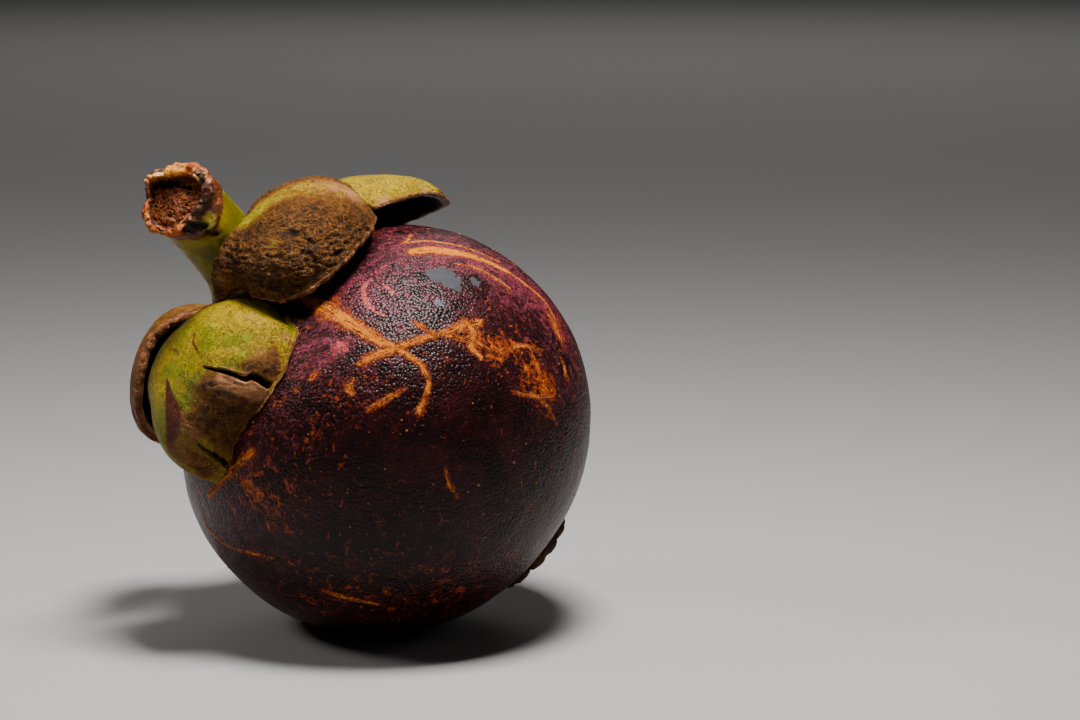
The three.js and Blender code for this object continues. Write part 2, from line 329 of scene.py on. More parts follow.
class NodeSketch:
    """A node tree, drawn with one short call for each node."""

    def __init__(self, tree: bpy.types.NodeTree) -> None:
        """Keeps the tree that the nodes are added to."""
        self.tree = tree

    def put(self, socket: Socket, value: object) -> None:
        """Links a socket to another, or sets it to a value. Colours are given without alpha."""
        if isinstance(value, bpy.types.NodeSocket):
            self.tree.links.new(value, socket)
        elif isinstance(value, tuple) and socket.type == "RGBA":
            socket.default_value = (*value, 1.0)
        else:
            socket.default_value = value

    def add(
        self, kind: str, inputs: Optional[dict[Union[str, int], object]] = None, **settings: object
    ) -> bpy.types.Node:
        """Adds a node.

        Args:
            kind: the node's type.
            inputs: its inputs by name or number, each a socket to link or a value to set.
            settings: its properties.

        Returns:
            The node.
        """
        node = self.tree.nodes.new(kind)
        for name, value in settings.items():
            setattr(node, name, value)
        for key, value in (inputs or {}).items():
            self.put(node.inputs[key], value)
        return node

    def maths(self, operation: str, a: Value, b: Value = 0.0, c: Value = 0.0) -> Socket:
        """What a Math node makes of its numbers. Operations that take fewer ignore the last."""
        return self.add("ShaderNodeMath", {0: a, 1: b, 2: c}, operation=operation).outputs[0]

    def times(self, a: Value, b: Value) -> Socket:
        """The product of two numbers."""
        return self.maths("MULTIPLY", a, b)

    def plus(self, a: Value, b: Value) -> Socket:
        """The sum of two numbers."""
        return self.maths("ADD", a, b)

    def times_plus(self, a: Value, gain: Value, b: Value) -> Socket:
        """A number times a gain, plus another number."""
        return self.maths("MULTIPLY_ADD", a, gain, b)

    def shifted(self, place: Socket, shift: float) -> Socket:
        """A place moved by some metres, so that no two patterns are alike."""
        shifts = {0: place, 1: (shift, -shift, 2 * shift)}
        return self.add("ShaderNodeVectorMath", shifts, operation="ADD").outputs[0]

    def stretched(self, place: Socket, shift: float, stretch: Place) -> Socket:
        """A moved place, squeezed by a factor on each axis, so that a pattern is drawn out."""
        factors = {0: self.shifted(place, shift), 1: stretch}
        return self.add("ShaderNodeVectorMath", factors, operation="MULTIPLY").outputs[0]

    def noise_at(
        self, place: Socket, scale: Value, detail: float = 3.0, roughness: float = 0.5, warp: float = 0.0
    ) -> Socket:
        """Fractal noise on a place.

        Args:
            place: the place.
            scale: how many lumps fit in one unit of it.
            detail: how many finer layers it has.
            roughness: how strong those are.
            warp: how far it is distorted.

        Returns:
            Its value, about 0.5 on average.
        """
        inputs = {
            "Vector": place, "Scale": scale, "Detail": detail, "Roughness": roughness, "Distortion": warp,
        }
        return self.add("ShaderNodeTexNoise", inputs).outputs["Fac"]


# ---------------------------------------------------------------- materials


class MaterialSketch(NodeSketch):
    """A material's node tree.

    Light that goes under the skin reaches soft_depth, in millimetres, by soft_reach for each
    primary colour.
    """

    soft_reach: Colour = (1.0, 0.4, 0.15)
    soft_depth: float = 0.8

    def __init__(self, name: str) -> None:
        """Starts a material of this name."""
        self.material = bpy.data.materials.new(name)
        self.material.use_nodes = True
        super().__init__(self.material.node_tree)
        self.shader = self.tree.nodes["Principled BSDF"]
        self.place = self.add("ShaderNodeTexCoord").outputs["Object"]

    def noise(
        self, size: float, detail: float = 3.0, roughness: float = 0.5, warp: float = 0.0,
        shift: float = 0.0,
    ) -> Socket:
        """Fractal noise on the object, as in noise_at, moved by a shift in metres.

        Its largest lumps have the size given, in millimetres.
        """
        return self.noise_at(self.shifted(self.place, shift), 1 / (size * MM), detail, roughness, warp)

    def pebbles(self, size: float, stray: float = 0.35, bends: float = 0.6) -> Socket:
        """The distance to the middle of the nearest grain, 0 there and about 0.7 in the grooves.

        Args:
            size: the grains' spacing, in millimetres.
            stray: how far the grains are bent out of shape, as a share of that.
            bends: how many bends there are in that spacing.

        Returns:
            The distance.
        """
        bend = self.add("ShaderNodeTexNoise", {"Vector": self.place, "Scale": bends / (size * MM)})
        moved = self.add(
            "ShaderNodeVectorMath",
            {0: bend.outputs["Color"], 1: (stray * size * MM,) * 3, 2: self.place},
            operation="MULTIPLY_ADD",
        )
        grains = {"Vector": moved.outputs[0], "Scale": 1 / (size * MM)}
        return self.add("ShaderNodeTexVoronoi", grains, feature="F1").outputs["Distance"]

    def together(self, x: Value, y: Value, z: Value = 0.0) -> Socket:
        """Three numbers as a place."""
        return self.add("ShaderNodeCombineXYZ", {0: x, 1: y, 2: z}).outputs[0]

    def attribute(self, name: str) -> Socket:
        """The value of a named attribute of the mesh."""
        return self.add("ShaderNodeAttribute", attribute_name=name).outputs["Fac"]

    def around_zero(self, value: Socket, gain: float) -> Socket:
        """A noise value moved to lie around 0, and multiplied."""
        return self.times_plus(value, gain, -0.5 * gain)

    def step(self, value: Value, low: float, high: float) -> Socket:
        """A soft step, 0 at low and 1 at high. High may lie under low, for a step down."""
        first, last = (1.0, 0.0) if low > high else (0.0, 1.0)
        inputs = {
            "Value": value, "From Min": min(low, high), "From Max": max(low, high),
            "To Min": first, "To Max": last,
        }
        return self.add("ShaderNodeMapRange", inputs, interpolation_type="SMOOTHSTEP").outputs["Result"]

    def line(self, value: Socket, width: float, core: float = 0.3) -> Socket:
        """Thin lines where a noise value passes through its average, 1 on them and 0 beside them.

        Their width is in the noise's own units, and the core is the share of it that is at full 1.
        """
        return self.step(self.maths("ABSOLUTE", self.around_zero(value, 1.0)), width, core * width)

    def mix(self, share: Value, a: Union[Socket, Colour], b: Union[Socket, Colour]) -> Socket:
        """A blend of two colours, with this share of the second."""
        node = self.add("ShaderNodeMix", {"Factor": share}, data_type="RGBA")
        first, second = (socket for socket in node.inputs if socket.type == "RGBA")
        self.put(first, a)
        self.put(second, b)
        return next(socket for socket in node.outputs if socket.type == "RGBA")

    def cover(
        self, under: Union[Socket, Colour], over: Union[Socket, Colour], value: Value, low: float,
        high: float, share: float = 1.0,
    ) -> Socket:
        """A colour with another laid over it, by a share, where a value passes a soft step."""
        mask = self.step(value, low, high)
        return self.mix(mask if share == 1.0 else self.times(mask, share), under, over)

    def bump(self, height: Value, depth: float, under: Optional[Socket] = None) -> Socket:
        """The normal of a relief in the shading, whose 1 is so deep, in millimetres.

        It lies on the coarser relief whose normal is under it.
        """
        inputs = {"Strength": 1.0, "Distance": depth * MM, "Height": height}
        if under is not None:
            inputs["Normal"] = under
        return self.add("ShaderNodeBump", inputs).outputs["Normal"]

    def shade(
        self, colour: Union[Socket, Colour], roughness: Value, normal: Optional[Socket] = None,
        shine: float = 0.5, soft: float = 0.0,
    ) -> None:
        """Sets the shader.

        Args:
            colour: the base colour.
            roughness: the roughness.
            normal: the bumped normal.
            shine: the strength of its reflections, 0.5 for common matter.
            soft: the share of light that goes under the skin.
        """
        self.put(self.shader.inputs["Base Color"], colour)
        self.put(self.shader.inputs["Roughness"], roughness)
        if normal is not None:
            self.put(self.shader.inputs["Normal"], normal)
        self.shader.inputs["Specular IOR Level"].default_value = shine
        self.shader.inputs["Subsurface Weight"].default_value = soft
        self.shader.inputs["Subsurface Radius"].default_value = self.soft_reach
        self.shader.inputs["Subsurface Scale"].default_value = self.soft_depth * MM


@dataclass(frozen=True)
class RindFinish:
    """Dark purple-brown leather with a fine shining grain, magenta flushes, painted shade on its lower half
    and latex scars.
    """

    deep: Colour = (0.0065, 0.0015, 0.0018)
    wine: Colour = (0.025, 0.0034, 0.0046)
    plum: Colour = (0.105, 0.0170, 0.0290)
    magenta: Colour = (0.300, 0.0360, 0.0600)
    rust: Colour = (0.200, 0.0280, 0.0040)
    amber: Colour = (0.480, 0.1250, 0.0080)
    gold: Colour = (0.560, 0.1550, 0.0010)
    blush: Colour = (0.420, 0.0700, 0.0600)
    # a flat grey painted on the smooth patches as a stand-in for their reflection
    smooth_sheen_grey: Colour = (0.050, 0.0500, 0.0580)
    grain: float = 0.42
    relief: float = 0.055

    def make(self) -> bpy.types.Material:
        """Makes the material."""
        s = MaterialSketch("rind_leather")
        fine = s.noise(0.5, 4.0, 0.65, 0.3, 0.7)
        ragged = s.around_zero(fine, 1.0)
        grain = s.pebbles(self.grain)
        groove = s.step(grain, 0.30, 0.75)

        # the ground, its plum and magenta flushes, which also paint shade on the lower half, and painted
        # shade in the grooves of the grain
        ground = s.cover(self.deep, self.wine, s.noise(7.0, 5.0, 0.62, 0.3), 0.42, 0.64)
        # the flush mask is partly painted shade: its negative patches darken the lower half
        flush_and_shade = s.plus(s.noise(1.5, 8.0, 0.78, 1.0, 0.2), s.attribute("flush_and_shade"))
        colour = s.cover(ground, self.plum, flush_and_shade, 0.50, 0.64)
        colour = s.cover(colour, self.magenta, flush_and_shade, 0.60, 0.80)
        # painted shade: the grooves between the grains are darkened towards the deep colour
        colour = s.mix(s.times(groove, 0.60), colour, self.deep)

        # rusty freckles and dull red smears
        freckle = s.plus(s.noise(1.9, 8.0, 0.76, 0.9, 0.4), s.attribute("mottle"))
        freckle = s.times_plus(ragged, 0.24, freckle)
        colour = s.cover(colour, self.rust, freckle, 0.57, 0.66)
        colour = s.cover(colour, self.amber, freckle, 0.66, 0.76)
        smear = s.times_plus(ragged, 2.2, s.attribute("smear"))
        colour = s.cover(colour, self.blush, smear, 0.45, 1.1, 0.8)

        # latex scars: fibres along their course, ragged edges, bright middles and torn lines
        run, side = s.attribute("scar_run"), s.attribute("scar_side")
        fibre = s.together(s.times(run, 0.42), s.times(side, 3.2))
        strand = s.noise_at(fibre, 1.0, 4.0, 0.6, 0.2)
        tear = s.together(s.times(run, 0.30), s.times(side, 2.1), 7.0)
        split = s.noise_at(tear, 1.0, 3.0, 0.5)
        near = s.attribute("scar")
        flaky = s.around_zero(s.noise(0.32, 4.0, 0.75, 0.5, 1.4), 3.4)
        edge = s.plus(s.plus(near, flaky), s.around_zero(strand, 2.4))
        edge = s.times_plus(ragged, 1.2, edge)
        edge = s.plus(edge, s.around_zero(s.noise(1.4, 3.0, 0.5, 0.4, 2.1), 1.8))
        edge = s.times_plus(s.attribute("scar_fill"), s.step(near, -0.1, 0.5), edge)
        colour = s.cover(colour, self.rust, edge, -0.60, 0.30, 0.80)
        colour = s.cover(colour, self.amber, edge, 0.10, 0.95)
        patchy = s.times_plus(s.attribute("scar_fill"), 0.12, s.noise(0.9, 6.0, 0.7, 0.0, 0.9))
        patchy = s.times_plus(strand, 0.9, patchy)
        bright = s.times(s.step(edge, 0.70, 1.50), s.step(patchy, 0.84, 1.12))
        colour = s.mix(bright, colour, self.gold)
        torn = s.times(s.line(split, 0.035), s.step(near, 0.05, 0.5))
        torn = s.times(torn, s.step(patchy, 1.06, 0.94))
        colour = s.mix(torn, colour, self.deep)
        scar = s.step(edge, 0.1, 0.5)

        # smooth patches, painted a flat grey that stands in for their sheen, and the relief that they and the
        # scars interrupt
        smooth = s.times_plus(ragged, 0.5, s.attribute("smooth"))
        smooth = s.plus(smooth, s.around_zero(s.noise(1.7, 2.0, 0.5, 0.6, 3.3), 1.0))
        smooth = s.step(smooth, 0.38, 0.48)
        colour = s.mix(smooth, colour, self.smooth_sheen_grey)
        skin = s.maths("SUBTRACT", 1.0, s.maths("MAXIMUM", smooth, s.times(scar, 0.6)))
        dome = s.times_plus(s.times(grain, grain), -1.9, 1.0)
        normal = s.bump(s.noise(2.2, 4.0, 0.6, 0.0, 0.3), 0.18)
        normal = s.bump(s.times(dome, skin), self.relief, normal)
        crust = s.times(s.maths("SUBTRACT", s.plus(fine, strand), torn), scar)
        normal = s.bump(crust, 0.14, normal)
        roughness = s.times_plus(fine, 0.24, 0.20)
        roughness = s.times_plus(scar, 0.45, roughness)
        s.shade(colour, roughness, normal, shine=0.14)
        return s.material


@dataclass(frozen=True)
class SepalFinish:
    """Waxy yellow-green skin that goes over to tan and brown cork, with a pinkish-brown margin."""

    yellow: Colour = (0.66, 0.455, 0.0003)
    green: Colour = (0.300, 0.370, 0.0003)
    tan: Colour = (0.20, 0.068, 0.0060)
    cork: Colour = (0.038, 0.0105, 0.0015)
    crest: Colour = (0.37, 0.135, 0.0110)
    pit: Colour = (0.014, 0.0042, 0.0014)
    rim: Colour = (0.24, 0.078, 0.0220)
    pink: Colour = (0.78, 0.34, 0.1350)
    scorch: Colour = (0.115, 0.0120, 0.0004)
    vein: Colour = (0.170, 0.075, 0.0030)
    glint: Colour = (0.80, 0.62, 0.0800)

    def make(self) -> bpy.types.Material:
        """Makes the material."""
        s = MaterialSketch("sepal_skin")
        rough = s.noise(1.4, 7.0, 0.68, 0.6, 0.5)
        fine = s.noise(0.45, 4.0, 0.65, 0.0, 0.8)
        ragged = s.around_zero(rough, 1.5)
        hollow = s.attribute("relief")

        # waxy skin with stains, veins and pale glints, going over to tan
        tint = s.plus(s.noise(5.5, 4.0, 0.55, 0.4, 0.1), s.attribute("ripe"))
        skin = s.cover(self.green, self.yellow, tint, 0.36, 0.66)
        stain = s.times(s.step(s.noise(0.9, 5.0, 0.7, 0.4, 1.3), 0.50, 0.70), 0.5)
        skin = s.mix(stain, skin, self.tan)
        wavy = s.noise(1.0, 3.0, 0.6, 1.6, 1.7)
        net = s.line(wavy, 0.05)
        brown = s.plus(s.attribute("cork"), ragged)
        colour = s.mix(s.times(net, s.step(brown, -0.6, 0.2)), skin, self.vein)
        glint = s.times(s.step(fine, 0.56, 0.68), s.step(wavy, 0.47, 0.60))
        colour = s.mix(s.times(glint, 0.6), colour, self.glint)
        tan = s.cover(self.tan, self.crest, fine, 0.40, 0.62)
        colour = s.cover(colour, tan, brown, 0.20, 0.62)

        # wrinkled cork with pale raised squiggles, their crest colour partly painted highlight, and painted
        # shade in its hollows
        streak = s.noise_at(s.stretched(s.place, 0.0, (0.35, 1.0, 1.0)), 1 / (0.42 * MM), 4.0, 0.65, 0.6)
        cork = s.cover(self.cork, self.tan, streak, 0.40, 0.76)
        squiggle = s.line(s.noise(1.0, 3.0, 0.6, 1.5, 0.35), 0.045)
        raised = s.maths("MAXIMUM", squiggle, s.step(streak, 0.62, 0.76))
        # partly painted highlight: raised squiggles and streaks are lightened to the crest colour
        cork = s.mix(s.times(raised, s.step(hollow, -0.10, 0.12)), cork, self.crest)
        # painted shade: the low parts of the relief are darkened
        cork = s.cover(cork, self.pit, hollow, -0.02, -0.26)
        corky = s.step(brown, 0.50, 0.95)
        colour = s.mix(corky, colour, cork)
        # pale pink patches, partly the skin's colour and partly painted highlights
        pale = s.times_plus(ragged, 0.8, s.attribute("pale"))
        colour = s.cover(colour, self.pink, pale, 0.20, 0.8, 0.9)

        # scorched stretches, the margin with a painted shadow line inside it, and painted shade on the
        # underside, in cracks and in trenches
        scorch = s.step(s.times_plus(ragged, 0.8, s.attribute("scorch")), 0.10, 0.90)
        colour = s.mix(scorch, colour, self.scorch)
        margin = s.times_plus(ragged, 0.40, s.attribute("margin"))
        rim = s.cover(self.rim, self.pink, streak, 0.48, 0.68)
        rim = s.cover(rim, self.cork, rough, 0.44, 0.34)
        colour = s.cover(colour, rim, margin, 1.15, 0.70)
        shadow = s.step(s.maths("ABSOLUTE", s.maths("SUBTRACT", margin, 1.35)), 0.30, 0.05)
        colour = s.mix(s.times(shadow, 0.25), colour, self.cork)
        # painted shade: the underside of the hood is dark, lighter only near the margin
        below = s.cover(self.pit, self.cork, rough, 0.40, 0.64)
        below = s.cover(below, self.rim, margin, 1.7, 1.0)
        colour = s.mix(s.attribute("inside"), colour, below)
        # painted shade in the carved cracks, and under the sepals that lie over this one
        colour = s.cover(colour, self.pit, s.attribute("crack"), 0.30, 0.75)
        colour = s.cover(colour, self.pit, s.attribute("trench"), 0.25, 0.7)

        crease = s.maths("ABSOLUTE", s.around_zero(s.noise(1.1, 4.0, 0.6, 1.6, 2.7), 1.0))
        normal = s.bump(rough, 0.80)
        normal = s.bump(s.step(crease, 0.0, 0.14), 0.34, normal)
        normal = s.bump(s.line(wavy, 0.12), -0.34, normal)
        normal = s.bump(fine, 0.26, normal)
        normal = s.bump(s.times(streak, corky), 0.30, normal)
        roughness = s.times_plus(fine, 0.20, 0.26)
        roughness = s.times_plus(corky, 0.16, roughness)
        s.shade(colour, roughness, normal, shine=0.22, soft=0.02)
        return s.material


@dataclass(frozen=True)
class StemFinish:
    """Olive-yellow waxy bark, a rusty swollen joint and a rough brown broken end."""

    yellow: Colour = (0.20, 0.145, 0.0010)
    olive: Colour = (0.100, 0.085, 0.0008)
    brown: Colour = (0.070, 0.018, 0.0040)
    rust: Colour = (0.30, 0.056, 0.0040)
    orange: Colour = (0.70, 0.24, 0.0120)
    pale: Colour = (0.74, 0.36, 0.1500)
    pit: Colour = (0.014, 0.0045, 0.0014)

    def make(self) -> bpy.types.Material:
        """Makes the material."""
        s = MaterialSketch("stem_bark")
        rough = s.noise(1.3, 6.0, 0.66, 0.5, 0.3)
        broad = s.noise(2.6, 3.0, 0.55, 0.6, 0.9)
        fine = s.noise(0.45, 4.0, 0.6, 0.0, 0.6)
        ragged = s.around_zero(rough, 1.4)
        hollow = s.attribute("relief")
        bark = s.cover(self.olive, self.yellow, s.noise(4.0, 4.0, 0.5, 0.5), 0.38, 0.62)
        bark = s.cover(bark, self.brown, s.noise(1.2, 5.0, 0.7, 0.0, 1.1), 0.66, 0.72)
        joint = s.cover(self.brown, self.rust, rough, 0.48, 0.64)
        joint = s.cover(joint, bark, s.plus(s.attribute("knob"), ragged), 0.35, 0.75)
        colour = s.cover(bark, joint, s.plus(s.attribute("joint"), ragged), 0.45, 0.70)
        glow = s.attribute("glow")
        lip = s.cover(self.brown, self.rust, s.plus(glow, ragged), 0.20, 0.60)
        lip = s.cover(lip, self.orange, s.times(glow, broad), 0.36, 0.54)
        # painted highlights: pale glints on the torn lip, placed by the pale patches
        glint = s.times_plus(s.attribute("pale"), 0.45, s.plus(fine, ragged))
        lip = s.cover(lip, self.pale, glint, 0.70, 0.90)
        lip = s.cover(lip, self.brown, s.maths("SUBTRACT", rough, s.around_zero(fine, 0.5)), 0.40, 0.32)
        lipped = s.step(s.times_plus(ragged, 0.5, s.attribute("lip")), 0.35, 0.65)
        colour = s.mix(lipped, colour, lip)
        face = s.cover(self.brown, self.rust, fine, 0.38, 0.60)
        colour = s.cover(colour, face, s.attribute("face"), 0.3, 0.7)
        # painted shade on the wall under the torn lip
        colour = s.mix(s.attribute("wall"), colour, self.pit)
        # painted shade: the low parts of the joint's relief are darkened
        colour = s.mix(s.times(s.step(hollow, -0.04, -0.24), s.attribute("joint")), colour, self.pit)
        # painted shade: the foot of the stalk under the sepals, and the hollows under the torn rim
        dark = s.maths("MAXIMUM", s.attribute("root"), s.attribute("dark"))
        dark = s.times_plus(ragged, 0.5, dark)
        colour = s.cover(colour, self.pit, dark, 0.25, 0.75)
        normal = s.bump(rough, 0.20)
        normal = s.bump(s.times(fine, s.attribute("joint")), 0.16, normal)
        roughness = s.times_plus(fine, 0.2, 0.30)
        roughness = s.times_plus(s.attribute("joint"), 0.12, roughness)
        s.shade(colour, roughness, normal, shine=0.30, soft=0.02)
        return s.material


@dataclass(frozen=True)
class WoodyFinish:
    """Dry brown tissue, such as the stigma's lobes and the strands in the broken end."""

    name: str
    dark: Colour
    light: Colour
    lump: float = 0.8
    relief: float = 0.12
    roughness: float = 0.62

    def make(self) -> bpy.types.Material:
        """Makes the material."""
        s = MaterialSketch(self.name)
        rough = s.noise(self.lump, 6.0, 0.7, 0.4, 0.2)
        colour = s.cover(self.dark, self.light, rough, 0.36, 0.66)
        roughness = s.times_plus(rough, 0.25, self.roughness - 0.12)
        s.shade(colour, roughness, s.bump(rough, self.relief), shine=0.12)
        return s.material


# ---------------------------------------------------------------- geometry trees


class GeometrySketch(NodeSketch):
    """A Geometry Nodes tree with named inputs."""

    def __init__(self, name: str) -> None:
        """Starts a tree of this name with a geometry input and output."""
        super().__init__(bpy.data.node_groups.new(name, "GeometryNodeTree"))
        for way in ("INPUT", "OUTPUT"):
            self.tree.interface.new_socket("Geometry", in_out=way, socket_type="NodeSocketGeometry")
        self.entry = self.add("NodeGroupInput")
        self.exit = self.add("NodeGroupOutput")
        self.values: dict[str, object] = {}

    def input(self, name: str, value: Union[float, int]) -> Socket:
        """Adds a named input with its value, and gives it as a socket inside the tree."""
        kind = "NodeSocketInt" if isinstance(value, int) else "NodeSocketFloat"
        socket = self.tree.interface.new_socket(name, in_out="INPUT", socket_type=kind)
        self.values[socket.identifier] = value
        return self.entry.outputs[name]

    def attribute(self, name: str) -> Socket:
        """The value of a named attribute of the points."""
        node = self.add("GeometryNodeInputNamedAttribute", {"Name": name}, data_type="FLOAT")
        return node.outputs["Attribute"]

    def finish(self, geometry: Socket, material: bpy.types.Material) -> None:
        """Ends the tree with Realize Instances and Set Material."""
        real = self.add("GeometryNodeRealizeInstances", {"Geometry": geometry})
        painted = self.add(
            "GeometryNodeSetMaterial", {"Geometry": real.outputs["Geometry"], "Material": material}
        )
        self.put(self.exit.inputs["Geometry"], painted.outputs["Geometry"])

    def finish_copies(
        self, points: Socket, shape: Socket, turn: Socket, scale: Socket, material: bpy.types.Material
    ) -> None:
        """Ends the tree with a copy of a shape, turned and scaled, on each point."""
        inputs = {"Points": points, "Instance": shape, "Rotation": turn, "Scale": scale}
        self.finish(self.add("GeometryNodeInstanceOnPoints", inputs).outputs[0], material)

    def applied(self, piece: bpy.types.Object) -> bpy.types.Mesh:
        """The plain mesh that this tree makes of an object, whose modifier is then removed.

        Args:
            piece: the object that the tree works on.

        Returns:
            The mesh.
        """
        modifier = piece.modifiers.new(self.tree.name, "NODES")
        modifier.node_group = self.tree
        for identifier, value in self.values.items():
            modifier[identifier] = value
        graph = bpy.context.evaluated_depsgraph_get()
        ready = piece.evaluated_get(graph)
        mesh = bpy.data.meshes.new_from_object(ready, preserve_all_data_layers=True, depsgraph=graph)
        piece.modifiers.remove(modifier)
        return mesh


@dataclass(frozen=True)
class Lumps:
    """One layer of relief: its size and height in millimetres, and the attribute that masks it.

    Squeezing its place on an axis draws it out along that axis.
    """

    size: float
    height: float
    mask: str = ""
    detail: float = 3.0
    roughness: float = 0.5
    ridged: bool = False
    seed: float = 0.0
    warp: float = 0.0
    squeeze: Place = (1.0, 1.0, 1.0)


@dataclass(frozen=True)
class Carving:
    """Relief straight from an attribute of the mesh: its name, and the height of its 1."""

    attribute: str
    height: float


@dataclass(frozen=True)
class Patch:
    """A soft round patch: its place in the picture, its radius in millimetres and its strength."""

    place: Pixel
    radius: float
    strength: float


@dataclass(frozen=True)
class Mark:
    """A scar or a split: its course in the picture and its half widths along it, in millimetres.

    Its fill, from 0 for loose strands to 1 for solid latex, is the same all along it.
    """

    course: tuple[Pixel, ...]
    widths: tuple[float, ...]
    fill: float = 0.0


@dataclass
class Relief:
    """Moves a skin along its normals by layers of lumps and by carvings.

    The gain brings the noise nearer to the whole height. A ridged layer is highest where its noise
    is average, and the crest is how high it is there, before the gain. The skin keeps how far it
    moved, in millimetres, as an attribute for its finish.
    """

    name: str
    lumps: Sequence[Lumps]
    carvings: Sequence[Carving] = ()
    gain: float = 2.0
    crest: float = 0.12

    def applied(self, piece: bpy.types.Object, material: bpy.types.Material) -> None:
        """Gives a piece a new mesh with this relief, and its material."""
        s = GeometrySketch(self.name)
        place = s.add("GeometryNodeInputPosition").outputs[0]
        total: Value = 0.0
        for number, layer in enumerate(self.lumps, 1):
            size = s.input(f"Size {number}", layer.size * MM)
            height = s.input(f"Height {number}", layer.height * MM)
            drawn = s.stretched(place, layer.seed, layer.squeeze)
            scale = s.maths("DIVIDE", 1.0, size)
            noise = s.noise_at(drawn, scale, layer.detail, layer.roughness, layer.warp)
            value = s.maths("SUBTRACT", noise, 0.5)
            if layer.ridged:
                value = s.maths("SUBTRACT", self.crest, s.maths("ABSOLUTE", value))
            value = s.times(s.times(value, self.gain), height)
            if layer.mask:
                value = s.times(value, s.attribute(layer.mask))
            total = s.plus(total, value)
        for carving in self.carvings:
            height = s.input(f"Height of {carving.attribute}", carving.height * MM)
            total = s.times_plus(s.attribute(carving.attribute), height, total)
        kept = s.add(
            "GeometryNodeStoreNamedAttribute",
            {
                "Geometry": s.entry.outputs["Geometry"], "Name": "relief",
                "Value": s.maths("DIVIDE", total, MM),
            },
            data_type="FLOAT", domain="POINT",
        )
        normal = s.add("GeometryNodeInputNormal").outputs[0]
        offset = s.add("ShaderNodeVectorMath", {0: normal, "Scale": total}, operation="SCALE")
        moved = s.add(
            "GeometryNodeSetPosition", {"Geometry": kept.outputs["Geometry"], "Offset": offset.outputs[0]}
        )
        s.finish(moved.outputs["Geometry"], material)
        piece.data = s.applied(piece)


# ---------------------------------------------------------------- mesh helpers


def cubic(a: np.ndarray, b: np.ndarray, c: np.ndarray, d: np.ndarray, t: np.ndarray) -> np.ndarray:
    """The smooth curve from b to c, where t is 0 and 1, with a before it and d behind it."""
    return b + 0.5 * t * (c - a + t * (2 * a - 5 * b + 4 * c - d + t * (3 * (b - c) + d - a)))


def curve_through(points: Sequence[Sequence[float]], steps: int = 24) -> np.ndarray:
    """A smooth curve through points.

    Args:
        points: the points, of two or three coordinates.
        steps: how many points are put in each stretch.

    Returns:
        The curve's points.
    """
    p = np.asarray(points, float)
    p = np.vstack([2 * p[0] - p[1], p, 2 * p[-1] - p[-2]])
    t = np.linspace(0, 1, steps, endpoint=False)[:, None]
    stretches = [cubic(a, b, c, d, t) for a, b, c, d in zip(p, p[1:], p[2:], p[3:])]
    return np.vstack([*stretches, p[-2:-1]])


def round_value(values: Sequence[float], around: np.ndarray) -> np.ndarray:
    """A value given at even steps of a turn, joined by a smooth curve.

    Args:
        values: the values.
        around: the angles where it is wanted, in radians.

    Returns:
        The value at each angle.
    """
    v = np.asarray(values, float)
    place = np.mod(around / FULL_TURN * len(v), len(v))
    i = np.floor(place).astype(int)
    a, b, c, d = (v[(i + step) % len(v)] for step in (-1, 0, 1, 2))
    return cubic(a, b, c, d, place - i)


def soft_step(value: np.ndarray, low: float, high: float) -> np.ndarray:
    """A soft step of an array, 0 under low and 1 over high."""
    t = np.clip((value - low) / (high - low), 0, 1)
    return t * t * (3 - 2 * t)


def soft_fall(value: np.ndarray, low: float, high: float) -> np.ndarray:
    """A soft step down of an array, 1 under low and 0 over high."""
    return soft_step(-value, -high, -low)


def waved(level: float, waves: Waves, around: np.ndarray, phase: float) -> np.ndarray:
    """A level with waves on it, at angles round a ring.

    Args:
        level: the level.
        waves: each wave's height, its number round the ring and how often it takes the phase.
        around: the angles.
        phase: the phase.

    Returns:
        The waved level at each angle.
    """
    for height, number, phases in waves:
        level = level + height * np.sin(number * around + phases * phase)
    return level


def capped(values: np.ndarray) -> np.ndarray:
    """Values for the points of rings, with the first and the last also given to the skin's ends."""
    return np.concatenate([values[:1], values, values[-1:]])


def spread_rings(values: Sequence[float], count: int) -> np.ndarray:
    """A value for each ring, given to each of its points and to both ends of the skin."""
    return capped(np.repeat(values, count))


def loft_faces(rings: int, count: int) -> list[tuple[int, ...]]:
    """The faces of a closed skin: a first point, rings of points, and a last point.

    Args:
        rings: how many rings there are.
        count: how many points each has.

    Returns:
        The faces, pointing outwards where each ring runs anticlockwise seen from the first point.
    """
    faces: list[tuple[int, ...]] = []
    last = 1 + rings * count
    for k in range(count):
        n = (k + 1) % count
        faces.append((0, 1 + k, 1 + n))
        for r in range(rings - 1):
            a, b = 1 + r * count, 1 + (r + 1) * count
            faces.append((a + k, b + k, b + n, a + n))
        faces.append((last, last - count + n, last - count + k))
    return faces


def make_piece(
    name: str, points: np.ndarray, faces: Sequence[Sequence[int]],
    attributes: Optional[dict[str, np.ndarray]] = None,
) -> bpy.types.Object:
    """Makes a mesh object at the origin.

    Args:
        name: its name.
        points: its points, in the row frame, in metres.
        faces: its faces.
        attributes: numbers for each point, by name.

    Returns:
        The object.
    """
    mesh = bpy.data.meshes.new(name)
    mesh.from_pydata(points.tolist(), [], faces)
    for key, values in (attributes or {}).items():
        layer = mesh.attributes.new(key, "FLOAT", "POINT")
        layer.data.foreach_set("value", np.asarray(values, np.float32).ravel())
    mesh.shade_smooth()
    return linked(name, mesh)


def mesh_points(mesh: bpy.types.Mesh) -> np.ndarray:
    """A mesh's points as an array."""
    points = np.empty(len(mesh.vertices) * 3, np.float32)
    mesh.vertices.foreach_get("co", points)
    return points.reshape(-1, 3).astype(float)


def move_points(mesh: bpy.types.Mesh, points: np.ndarray) -> None:
    """Moves a mesh's points to new places."""
    mesh.vertices.foreach_set("co", points.astype(np.float32).ravel())
    mesh.update()


